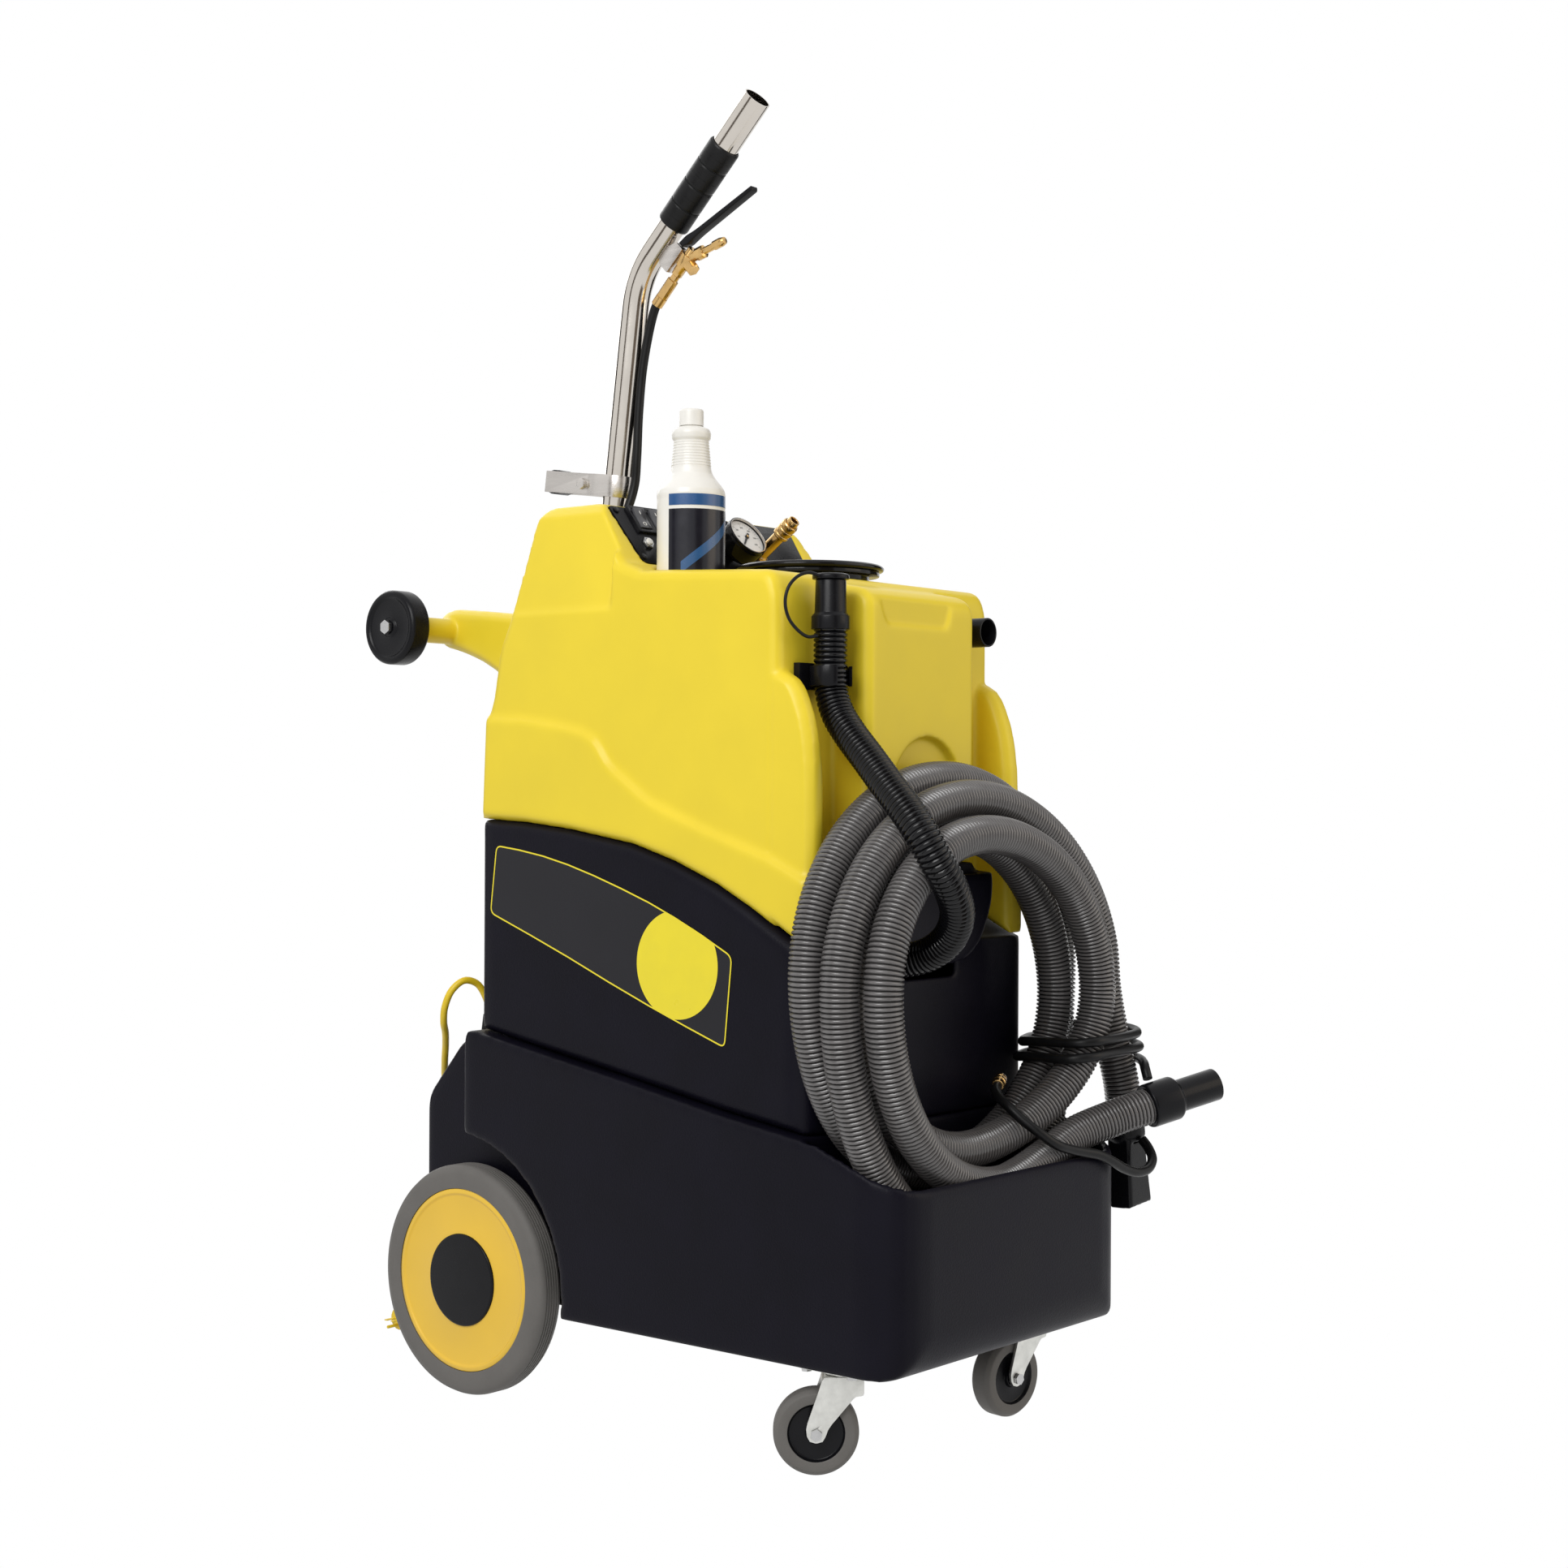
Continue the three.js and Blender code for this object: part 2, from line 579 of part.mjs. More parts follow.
const panelRod = (radius, across, upward, low, high, sides = 14) =>
  rod(radius, onPanel(across, upward, low).toArray(), onPanel(across, upward, high).toArray(), sides);
function switchBox(width, height, low, high, radius, shift = 0) {
  const shape = outline([
    [-width / 2, -height / 2], [width / 2, -height / 2], [width / 2, height / 2], [-width / 2, height / 2],
  ], radius);
  return slab(shape, low, high).translate(rockerX + shift, rockerUp, 0).applyMatrix4(panelBasis);
}
const rockerX = -122;
const rockerUp = 25;
const rockerPitch = 30;
const rockerSize = [20, 32];
const breakerX = -146;
const breakerUp = -14;
const breakerRadius = 5;
const gaugeX = 18;
const gaugeUp = -14;
const gaugeRadius = 31.5;
const gaugeReach = 40;
const couplerX = 67;
const couplerUp = -20;
const couplerRadius = 11;
const couplerReach = 84;

function rocker(shift) {
  const [w, h] = rockerSize;
  const side = outline([[-h / 2 + 3, -6], [h / 2 - 3, -6], [h / 2, 9], [0, 5.5], [-h / 2, 6.5]], [0, 0, 1, 6, 1]);
  const geometry = prism('x', side, -w / 2, w / 2);
  const basis = new THREE.Matrix4().makeBasis(X, up, out);
  const place = onPanel(rockerX + shift, rockerUp, 0);
  return geometry.applyMatrix4(basis.setPosition(place));
}

function gaugeBody() {
  const r = gaugeRadius;
  return turned([
    [0, -18], [6, -18], [6, seatGap], [9, seatGap], [9, 6], [r - 6, 9], [r - 2, 13], [r, 17], [r, gaugeReach],
    [r - 3, gaugeReach], [r - 3, gaugeReach - 5], [0, gaugeReach - 5],
  ], onPanel(gaugeX, gaugeUp, 0).toArray(), out.toArray(), 16);
}

function gaugeNeedle() {
  const lift = gaugeReach - 5 + seatGap;
  const hub = solid(turned([[0, 0], [3, 0], [3, 2], [0, 2]],
    onPanel(gaugeX, gaugeUp, lift).toArray(), out.toArray(), 12));
  const blade = outline([[-1.8, 9], [1.8, 9], [1, -19], [0, -22], [-1, -19]]);
  const geometry = slab(blade, 0, 1).rotateZ(-Math.PI / 4);
  const basis = new THREE.Matrix4().makeBasis(X, up, out).setPosition(onPanel(gaugeX, gaugeUp, lift + 0.5));
  return hub.add(solid(geometry.applyMatrix4(basis)));
}

function couplerBody() {
  const r = couplerRadius;
  return turned([
    [0, -18], [8, -18], [8, seatGap], [r, seatGap], [r, 14], [8.5, 18], [8.5, couplerReach - 6],
    [7.6, couplerReach], [5.5, couplerReach], [5.5, couplerReach - 22], [0, couplerReach - 22],
  ], onPanel(couplerX, couplerUp, 0).toArray(), out.toArray(), 14);
}

function couplerSleeve() {
  const r = couplerRadius;
  const [low, high] = [couplerReach - 32, couplerReach - 7];
  return turned([
    [9, low], [r, low], [r + 0.6, low + 2], [r + 0.6, low + 8], [r - 0.6, low + 10], [r - 0.6, low + 13],
    [r + 0.6, low + 15], [r + 0.6, high - 1.5], [r - 0.6, high], [9, high], [9, low],
  ], onPanel(couplerX, couplerUp, 0).toArray(), out.toArray(), 14);
}

// ---------------------------------------------------------------- lid, inlet, bottle
function lidRing() {
  const foot = deckZ + seatGap;
  return turned([
    [lidMouth - 4, foot - 18], [lidMouth - 1, foot - 18], [lidMouth - 1, foot], [lidRadius - 6, foot],
    [lidRadius - 6, foot + ringHeight], [lidMouth - 4, foot + ringHeight], [lidMouth - 4, foot - 18],
  ], [0, lidY, 0], [0, 0, 1], 20);
}
function lid() {
  const foot = deckZ + ringHeight + 2 * seatGap;
  return turned([
    [0, foot + 2], [lidMouth - 8, foot + 2], [lidMouth - 6, foot], [lidRadius - 2, foot],
    [lidRadius, foot + 2], [lidRadius, foot + 5], [lidRadius - 4, foot + 8], [lidMouth - 2, foot + 8],
    [lidMouth - 10, foot + 6], [0, foot + 8],
  ], [0, lidY, 0], [0, 0, 1], 20);
}

const stubFoot = [150, -333, 1013];
function vacuumInlet() {
  const r = stubRadius;
  return turned([
    [r - 2.5, 0], [r, 0], [r, channelY - stubFoot[1]], [r, 62], [r - 2.5, 62], [r - 2.5, 0],
  ], stubFoot, [0, 1, 0], 18);
}

function bottle() {
  const r = bottleRadius;
  return turned([
    [0, 0], [r - 5, 0], [r, 5], [r, 128], [r - 6, 137], [32, 145], [26, 154], [25, 160], [22, 194], [24.8, 197],
    [24.8, 204], [14.5, 211.5], [13, 212], [13, 220], [10.5, 220], [10.5, 206], [19, 190], [22, 157],
    [r - 10, 134], [r - 4, 118], [r - 4, 8], [0, 6],
  ], [bottleX, bottleY, bottleFoot], [0, 0, 1], 18);
}

function bottleCap() {
  return turned([[0, 221], [13.6, 221], [13.6, 213], [15.6, 213], [15.6, 232], [14, 234], [0, 234]],
    [bottleX, bottleY, bottleFoot], [0, 0, 1], 16);
}

// ---------------------------------------------------------------- rear handle
const rollerInner = rollerFace - rollerWidth;
function handleBar() {
  const lobe = outline([
    [197 + seatGap, 993], [178 + seatGap, 1038], [330, 1054], [barY, barZ + 32], [barY + 24, barZ + 24],
    [barY + 30, barZ], [barY + 20, barZ - 20], [barY - 8, barZ - 26], [330, 985], [222, 925], [212 + seatGap, 930],
  ], [0, 0, 20, 16, 10, 10, 10, 16, 30, 0, 0], 2);
  let body = solid(rod(barRadius, [-rollerInner + runGap, barY, barZ], [rollerInner - runGap, barY, barZ], 18));
  for (const s of [-1, 1]) {
    const [low, high] = [s * lobeIn, s * lobeOut].sort((a, b) => a - b);
    body = body.add(solid(prism('x', lobe, low, high, 9)));
  }
  const bore = rod(rollerPin + seatGap, [-260, barY, barZ], [260, barY, barZ], 16);
  return body.subtract(solid(bore)).subtract(recoveryBack());
}
// What the tank's back takes out of the handle's feet.
function recoveryBack() {
  const line = outline([
    [0, 700], [tankRear - 6, 767], [217, 905], [209, 927], [197, 991], [176, 1033], [160, 1096], [0, 1096],
  ].map(([y, z]) => [y + (y > 0 ? seatGap : 0), z]));
  return solid(prism('x', line, -bodyHalf, bodyHalf));
}
function handleAxle() {
  const half = rollerFace + 1;
  const shaft = solid(rod(rollerPin, [-half, barY, barZ], [half, barY, barZ], 12));
  const heads = [-1, 1].map((s) =>
    solid(rod(10, [s * half, barY, barZ], [s * (half + 6), barY, barZ], 6)));
  return joined(shaft, ...heads);
}
function roller(s) {
  const r = rollerRadius;
  const w = rollerWidth;
  return turned([
    [rollerPin + 0.1, 0], [r - 4, 0], [r, 4], [r, w - 4], [r - 4, w], [r - 9, w], [r - 12, w - 3], [14, w - 3],
    [12, w], [rollerPin + 0.1, w], [rollerPin + 0.1, 0],
  ], [s * rollerInner, barY, barZ], [s, 0, 0], 18);
}

// ---------------------------------------------------------------- rear wheels
function rearAxle() {
  const half = wheelFace - 6;
  return rod(axleRadius, [-half, wheelY, wheelRadius], [half, wheelY, wheelRadius], 24);
}
function rearTyre(s) {
  const r = wheelRadius;
  const w = wheelWidth;
  const inner = hubRadius + seatGap;
  return turned([
    [inner, 2], [r - 12, 0], [r - 3, 4], [r, 10], [r, w - 10], [r - 3, w - 4], [r - 12, w], [inner, w - 2],
    [inner, 2],
  ], [s * (wheelFace - wheelWidth), wheelY, wheelRadius], [s, 0, 0], wheelSides);
}
function rearHub(s) {
  const w = wheelWidth;
  const bore = axleRadius + 0.25;
  return turned([
    [bore, 0], [26, 0], [28, 6], [hubRadius - 14, 8], [hubRadius - 10, 3], [hubRadius, 3], [hubRadius, w - 3],
    [hubRadius - 6, w - 1.5], [hubRadius - 9, w - 4], [hubCentre, w - 4], [hubCentre, w - 1.5],
    [hubCentre - 2, w - 0.5], [0, w - 0.5], [0, w - 5], [bore, w - 5], [bore, 0],
  ], [s * (wheelFace - wheelWidth), wheelY, wheelRadius], [s, 0, 0], wheelSides);
}

// ---------------------------------------------------------------- casters
function casterTopPlate(x) {
  const [w, l] = [36, 44];
  const shape = outline([
    [x - w, casterY - l], [x + w, casterY - l], [x + w, casterY + l], [x - w, casterY + l],
  ], 8);
  const top = baseBottom - seatGap;
  const plate = solid(prism('z', shape, top - casterPlate, top));
  const race = solid(rod(22, [x, casterY, top - casterPlate - 6], [x, casterY, top - casterPlate + 1], 24));
  return plate.add(race);
}
function casterFork(x, turn) {
  const top = baseBottom - casterPlate - 6 - 2 * seatGap - 0.4;
  const arm = 4;
  const gap = casterWidth / 2 + 2;
  const side = outline([
    [-24, top - 22], [-24, top], [24, top], [28, top - 12], [casterTrail + 13, casterRadius + 6],
    [casterTrail + 9, casterRadius - 10], [casterTrail - 9, casterRadius - 10],
    [casterTrail - 13, casterRadius + 6], [-14, top - 22],
  ], [4, 4, 4, 8, 8, 8, 8, 8, 4]);
  let body = solid(prism('x', side, -gap - arm, gap + arm));
  const inner = block([-gap, gap], [-60, 80], [0, top - 6]);
  body = body.subtract(solid(inner));
  const pin = rod(4, [-gap - arm - 3, casterTrail, casterRadius], [gap + arm + 3, casterTrail, casterRadius], 12);
  body = body.add(solid(pin));
  const spin = new THREE.Matrix4().makeRotationZ(THREE.MathUtils.degToRad(turn));
  return geometryOf(body).applyMatrix4(spin.setPosition(x, casterY, 0));
}
function casterWheel(x, turn) {
  const r = casterRadius;
  const w = casterWidth;
  const wheel = turned([
    [4.1, 0], [12, 0], [13, 5], [32, 5], [34, 0], [r - 5, 0], [r, 6], [r, w - 6], [r - 5, w],
    [34, w], [32, w - 5], [13, w - 5], [12, w], [4.1, w], [4.1, 0],
  ], [-w / 2, casterTrail, r], [1, 0, 0], 16);
  const spin = new THREE.Matrix4().makeRotationZ(THREE.MathUtils.degToRad(turn));
  return wheel.applyMatrix4(spin.setPosition(x, casterY, 0));
}

// ---------------------------------------------------------------- wand
const wandBend = [0, 152, 1517];
const wandTop = [0, -62, 1724];
const lean = at(wandBend).sub(at([0, 190, 1230])).normalize();
const wandAt = (z) => at([0, 190, 1230]).addScaledVector(lean, (z - 1230) / lean.z);
const gripWay = at(wandTop).sub(at(wandBend)).normalize();
// Placement of something drawn along +Z so that it stands on the lower tube at height z.
function wandLean(z) {
  const turn = new THREE.Quaternion().setFromUnitVectors(Z, lean);
  const m = new THREE.Matrix4().makeRotationFromQuaternion(turn).setPosition(wandAt(z));
  return m.elements;
}
function wandPath() {
  const near = 42;
  const before = at(wandBend).addScaledVector(lean, -near);
  const after = at(wandBend).addScaledVector(gripWay, near);
  const bend = new THREE.QuadraticBezierCurve3(before, at(wandBend), after);
  const path = new THREE.CurvePath();
  path.add(new THREE.LineCurve3(wandAt(wandFoot), before));
  path.add(bend);
  path.add(new THREE.LineCurve3(after, at(wandTop)));
  return { before, after, bend };
}
function wandTube() {
  const { before, after, bend } = wandPath();
  const spots = [wandAt(wandFoot), ...Array.from({ length: 9 }, (_, i) => bend.getPoint(i / 8)), at(wandTop)];
  spots[1] = before;
  spots[9] = after;
  const sides = 12;
  const places = [];
  const ringAt = (i, r) => {
    const ahead = spots[Math.min(i + 1, spots.length - 1)].clone().sub(spots[Math.max(i - 1, 0)]).normalize();
    const side = new THREE.Vector3().crossVectors(X, ahead).normalize();
    const first = places.length / 3;
    for (let k = 0; k < sides; k += 1) {
      const a = (2 * Math.PI * k) / sides;
      places.push(...spots[i].clone().addScaledVector(X, r * Math.cos(a))
        .addScaledVector(side, r * Math.sin(a)).toArray());
    }
    return first;
  };
  const count = spots.length;
  const outer = spots.map((_, i) => ringAt(i, wandRadius));
  const inner = spots.map((_, i) => ringAt(count - 1 - i, wandRadius - wandWall));
  const chain = [...outer, ...inner, outer[0]];
  const index = [];
  for (let i = 0; i + 1 < chain.length; i += 1) {
    for (let k = 0; k < sides; k += 1) {
      const m = (k + 1) % sides;
      index.push(chain[i] + k, chain[i] + m, chain[i + 1] + m, chain[i] + k, chain[i + 1] + m, chain[i + 1] + k);
    }
  }
  const geometry = new THREE.BufferGeometry();
  geometry.setAttribute('position', new THREE.Float32BufferAttribute(places, 3));
  geometry.setIndex(index);
  return geometry;
}
const onGrip = (z) => at(wandBend).addScaledVector(gripWay, (z - wandBend[2]) / gripWay.z);
function wandGrip() {
  const length = onGrip(wandGripZ[1]).distanceTo(onGrip(wandGripZ[0]));
  const r = wandRadius + 3.5;
  const hole = wandRadius + 0.9;
  const waves = 4;
  const profile = [[hole, 0]];
  for (let i = 0; i < waves; i += 1) {
    const h = (length * i) / waves;
    profile.push([r - 1.2, h + 0.5], [r, h + 3], [r, h + length / waves - 2.5]);
  }
  profile.push([r - 1.2, length - 0.2], [hole, length], [hole, 0]);
  return turned(profile, onGrip(wandGripZ[0]).toArray(), gripWay.toArray(), 14);
}
// Frame of the valve group: along the grip, and out below it.
const below = new THREE.Vector3().crossVectors(gripWay, X).normalize();
if (below.z > 0) below.negate();
const byGrip = (z, drop, across = 0) => onGrip(z).addScaledVector(below, drop).addScaledVector(X, across);
const valveDrop = 55;            // valve, below the middle of the grip
const valveZ = 1565;
function valveBracket() {
  const base = onGrip(1555);
  const shape = outline([[-16, seatGap + 11 - valveDrop], [24, seatGap + 11 - valveDrop], [24, -wandRadius - 9],
    [10, -wandRadius - seatGap], [-12, -wandRadius - seatGap], [-16, -wandRadius - 6]], 2);
  const geometry = slab(shape, -7, 7);
  const upward = below.clone().negate();
  const basis = new THREE.Matrix4().makeBasis(gripWay, upward, new THREE.Vector3().crossVectors(gripWay, upward));
  return geometry.applyMatrix4(basis.setPosition(base));
}

function valveBody() {
  const axisPoint = byGrip(valveZ, valveDrop);
  const barrel = solid(turned([[0, -19], [8, -19], [8, -9], [11, -9], [11, 9], [8, 9], [8, 19], [0, 19]],
    axisPoint.toArray(), gripWay.toArray(), 12));
  const spigot = solid(turned([[0, 0], [7, 0], [7, 22], [9, 22], [9, 34], [5, 35], [5, 52], [6.5, 53], [6.5, 66],
    [5, 72], [0, 72]], axisPoint.toArray(), spigotWay.toArray(), 10));
  const cap = solid(turned([[0, 6], [9.5, 6], [9.5, 20], [8, 22], [0, 22]],
    axisPoint.toArray(), below.toArray(), 6));
  const tail = solid(turned([[0, 0], [7.5, 0], [7.5, 24], [6, 25], [6, 32], [8, 33], [8, 62], [0, 62]],
    axisPoint.toArray(), tailWay.toArray(), 10));
  return joined(barrel, spigot, cap, tail);
}
const spigotWay = new THREE.Vector3(0, -0.97, 0.25).normalize();
const tailWay = new THREE.Vector3(0, 0.707, -0.707).normalize();
const leverZ = 1560;             // lever's pivot
const leverPivot = byGrip(leverZ, wandRadius + 13);
function valveLever() {
  const shape = outline([[1, -8], [10, -14], [30, -19], [130, -53], [134, -48], [32, -11], [16, -3], [1, 0]],
    [1, 3, 8, 2, 2, 8, 4, 1]);
  const geometry = slab(shape, -7.5, 7.5, 1.5);
  const upward = below.clone().negate();
  const basis = new THREE.Matrix4().makeBasis(gripWay, upward, new THREE.Vector3().crossVectors(gripWay, upward));
  return geometry.applyMatrix4(basis.setPosition(leverPivot.clone().addScaledVector(gripWay, 17.5)));
}
function wandHose() {
  const start = byGrip(valveZ, valveDrop).addScaledVector(tailWay, 62.3);
  const next = start.clone().addScaledVector(tailWay, 16);
  const side = wandRadius + leadRadius + 1.2;
  // Down the tube: height, then how far it stands to the left of the tube and in front of it.
  const stops = [
    [1400, 0, side], [1330, 0, side], [1265, 0, side + 5], [1228, 0, side + 6], [1190, -8, side + 3],
    [1150, -19, side - 8], [1110, -26, 10], [1070, -28, 2], [1000, -29, 0], [900, -29, 0], [800, -29, 0],
    [700, -29, 0], [620, -30, 0], [541, -30, 0],
  ];
  const points = stops.map(([z, x, y]) => wandAt(z).addScaledVector(X, x).addScaledVector(Y, -y));
  return cord([start, next, ...points].map((p) => p.toArray()), leadRadius, 6, 34);
}
function wandHead() {
  const halfWide = 118;
  const top = wandAt(wandFoot).addScaledVector(lean, -seatGap);
  const profile = outline([
    [-halfWide, 472], [halfWide, 472], [halfWide, 486], [34, 520], [24, 540], [-24, 540], [-34, 520], [-halfWide, 486],
  ], [0, 0, 4, 10, 4, 4, 10, 4]);
  const y = wandAt(500).y;
  let body = solid(prism('y', profile, y - 24, y + 24));
  body = body.subtract(solid(prism('y', outline([[-halfWide + 3, 460], [halfWide - 3, 460], [halfWide - 3, 483],
    [30, 516], [-30, 516], [-halfWide + 3, 483]]), y - 21, y + 21)));
  const sleeve = solid(rod(wandRadius + 3, wandAt(505).toArray(), wandAt(560).toArray(), 20));
  const bore = solid(rod(wandRadius + seatGap, top.toArray(), wandAt(600).toArray(), 20));
  const duct = solid(rod(wandRadius - 3, wandAt(490).toArray(), wandAt(560).toArray(), 20));
  return body.add(sleeve).subtract(bore).subtract(duct);
}
const clampZ = 1228;
const assistReach = 128;
function assistHandle() {
  const r = wandRadius + seatGap;
  const thick = 3;
  const half = 15;
  const outer = [[-r - thick, 0], ...arc(0, 0, r + thick, 200, 340, 10), [r + thick, 0], [r + thick, 26],
    [half, 44], [half, assistReach], [half - thick, assistReach], [half - thick, 42], [r, 24], [r, 0],
    ...arc(0, 0, r, 340, 200, 10), [-r, 0], [-r, 24], [-half + thick, 42], [-half + thick, assistReach],
    [-half, assistReach], [-half, 44], [-r - thick, 26]];
  const height = 30;
  let body = solid(slab(outline(outer), -height / 2, height / 2));
  const bolt = solid(rod(4, [-half - 7, 52, 0], [half + 7, 52, 0], 12));
  const heads = [-1, 1].map((s) => solid(rod(8, [s * half, 52, 0], [s * (half + 7), 52, 0], 6)));
  body = joined(body, bolt, ...heads);
  return body.transform(wandLean(clampZ));
}
function assistGrip() {
  const half = 15;
  const shape = outline([[-14, -17], [14, -17], [14, 17], [-14, 17]], 8);
  const reach = half - 3 - seatGap;
  const knob = solid(slab(shape, -reach, reach));
  const turn = new THREE.Matrix4().makeBasis(Y, Z, X).setPosition(0, assistReach - 16, 0);
  return knob.transform(turn.elements).transform(wandLean(clampZ));
}

// ---------------------------------------------------------------- vacuum hose and its leads
// Turns of the coil from the back to the front: where each one stands at the right, top, left and foot.
const coilStations = [
  { right: [275, -432, 545], top: [0, -413, 797], left: [-263, -415, 573], foot: [0, -424, 256] },
  { right: [268, -365, 600], top: [5, -367, 820], left: [-259, -365, 590], foot: [-16, -365, 336] },
  { right: [211, -398, 543], top: [10, -385, 755], left: [-206, -391, 558], foot: [-11, -413, 366] },
  { right: [221, -456, 550], top: [-25, -451, 754], left: [-236, -457, 572], foot: [10, -450, 325] },
];
const coilSteps = 6;            // points in each quarter turn
function quarter([x0, y0, z0], [x1, y1, z1], fromSide) {
  return Array.from({ length: coilSteps }, (_, i) => {
    const a = ((Math.PI / 2) * i) / coilSteps;
    const [s, c] = [Math.sin(a), Math.cos(a)];
    const ease = (1 - Math.cos(2 * a)) / 2;
    return fromSide
      ? [x1 + (x0 - x1) * c, y0 + (y1 - y0) * ease, z0 + (z1 - z0) * s]
      : [x0 + (x1 - x0) * s, y0 + (y1 - y0) * ease, z1 + (z0 - z1) * c];
  });
}
const hoseStart = [[303, -447, 380], [301, -446, 404], [297, -445, 428], [286, -439, 480]];
const hoseEnd = [
  [60, -450, 332.5], [120, -450, 350], [172, -456, 370], [222, -476, 386], [247, -490, 394], [268, -502, 400],
];
function coilPoints() {
  const stops = coilStations.flatMap(({ right, top, left, foot }) => [right, top, left, foot]);
  const turns = stops.slice(0, -1).flatMap((p, i) => quarter(p, stops[i + 1], i % 2 === 0));
  return [...hoseStart, ...turns, stops[stops.length - 1], ...hoseEnd];
}
function cuffAlong(profile, foot, next) {
  const way = at(next).sub(at(foot)).normalize();
  return turned(profile, at(foot).addScaledVector(way, seatGap).toArray(), way.toArray(), 16);
}
const endWay = at(hoseEnd[5]).sub(at(hoseEnd[4])).normalize();
function wandCuff() {
  const r = 28.5;
  return cuffAlong([
    [19, 0], [r - 1, 0], [r, 3], [r, 40], [r - 3, 44], [21, 46], [21, 104], [18, 104], [18, 30], [19, 0],
  ], hoseEnd[5], at(hoseEnd[5]).add(endWay).toArray());
}
const startWay = at(hoseStart[0]).sub(at(hoseStart[1])).normalize();
function machineCuff() {
  const foot = at(hoseStart[0]).addScaledVector(startWay, seatGap);
  const neck = solid(turned([[0, 0], [26, 0], [26, 26], [23, 32], [0, 34]], foot.toArray(), startWay.toArray(), 20));
  const flare = outline([[-21, 26], [-27, 118], [27, 118], [21, 26]], 2);
  const blade = slab(flare, -17, 17, 3);
  const across = new THREE.Vector3().crossVectors(startWay, Y).normalize();
  const basis = new THREE.Matrix4().makeBasis(across, startWay, new THREE.Vector3().crossVectors(across, startWay));
  const mouth = outline([[-19, 30], [-24, 125], [24, 125], [19, 30]]);
  const hollow = slab(mouth, -14, 14);
  let body = neck.add(solid(blade.applyMatrix4(basis.setPosition(foot))));
  body = body.subtract(solid(hollow.applyMatrix4(basis)));
  return body.subtract(solid(turned([[0, -1], [hoseBore, -1], [hoseBore, 34], [0, 34]], foot.toArray(),
    startWay.toArray(), 16)));
}

// The solution lead wraps twice round the bundle of hose on the right.
// Where the four strands of hose stand at two heights, as [z, x and y of each].
const bundle = [
  [452, [[186, -393], [242, -376], [291, -441], [181, -445]]],
  [495, [[204, -398], [256, -370], [283, -438], [206, -449]]],
];
const wrapClear = hoseRadius + leadRadius + 3.4;
function wrapPoint(degrees) {
  const a = THREE.MathUtils.degToRad(degrees - 50);
  const [dx, dy] = [Math.cos(a), Math.sin(a)];
  const z = bundle[0][0] + 2 + (19 * degrees) / 360;
  const share = (z - bundle[0][0]) / (bundle[1][0] - bundle[0][0]);
  const spots = bundle[0][1].map(([x, y], i) => {
    const [u, v] = bundle[1][1][i];
    return [x + (u - x) * share, y + (v - y) * share];
  });
  const reach = ([x, y]) => x * dx + y * dy;
  const [x, y] = spots.reduce((best, spot) => (reach(spot) > reach(best) ? spot : best));
  return [x + wrapClear * dx, y + wrapClear * dy, z];
}
const leadStart = [[279, -497, 434.5], [284, -490, 447], [297, -480, 452]];
const leadTail = [[291, -344, 492], [304, -340, 481], [306, -340, 468], [306, -340, 454]];
function leadPoints() {
  const turns = [];
  for (let degrees = 12; degrees <= 800; degrees += 26) turns.push(wrapPoint(degrees));
  return [...leadStart, ...turns, ...leadTail];
}
const leadTwo = [
  [300, -476, 352], [299, -486, 342], [291, -497, 330], [272, -503, 320], [246, -503, 318], [220, -500, 325],
  [194, -498, 337], [168, -494, 348], [142, -488, 354], [116, -483, 360], [92, -479, 368], [74, -468, 382],
  [64, -448, 398], [61, -430, 412], [66, -411, 423], [79, -396, 430], [98, -386, 433],
];
function hosePlug(foot, way) {
  return turned([[0, 0], [7.5, 0], [7.5, 12], [9, 13], [9, 20], [6, 21], [6, 26], [8, 27], [8, 34], [5, 38], [0, 38]],
    foot, way, 10);
}

// ---------------------------------------------------------------- drain hose
const drainFoot = [-142, -366, 602];
const drainWay = at([0.5, -0.85, 0.02]).normalize();
const drainWallEnd = at(drainFoot).addScaledVector(drainWay, -70).toArray();
const drainRoute = [
  [-157, -315, 1000], [-157, -315, 962], [-156, -315, 940], [-156, -317, 922], [-158, -328, 898], [-163, -350, 874], [-172, -384, 845],
  [-185, -424, 812], [-195, -458, 784], [-200, -486, 754], [-190, -499, 724], [-166, -501, 694], [-136, -489, 662],
  [-116, -462, 632], [-112, -430, 612], [-121, -401, 604],
];
const drainEnd = at(drainFoot).addScaledVector(drainWay, 1).toArray();
function drainOutlet() {
  const r = drainRadius - 6;
  return turned([[r - 3, -60], [r, -60], [r, -14], [drainRadius + 2, -14], [drainRadius + 2, -seatGap + 0.6],
    [r - 3, -seatGap + 0.6], [r - 3, -60]], drainFoot, drainWay.toArray(), 20);
}
function drainCuff() {
  const z = drainRoute[0][2] + seatGap;
  return turned([[drainBore, 0], [drainRadius + 2.5, 0], [drainRadius + 2.5, 16], [drainRadius - 1.5, 20],
    [drainRadius - 2.5, 60], [drainBore, 60], [drainBore, 0]], [-157, -315, z], [0, 0, 1], 16);
}
function drainCap() {
  const z = drainRoute[0][2] + 60 + 2 * seatGap;
  return turned([[0, -12], [drainBore - 0.6, -12], [drainBore - 0.6, 0], [drainRadius + 1.5, 0],
    [drainRadius + 1.5, 5], [drainRadius - 2, 7], [0, 7]], [-157, -315, z], [0, 0, 1], 16);
}
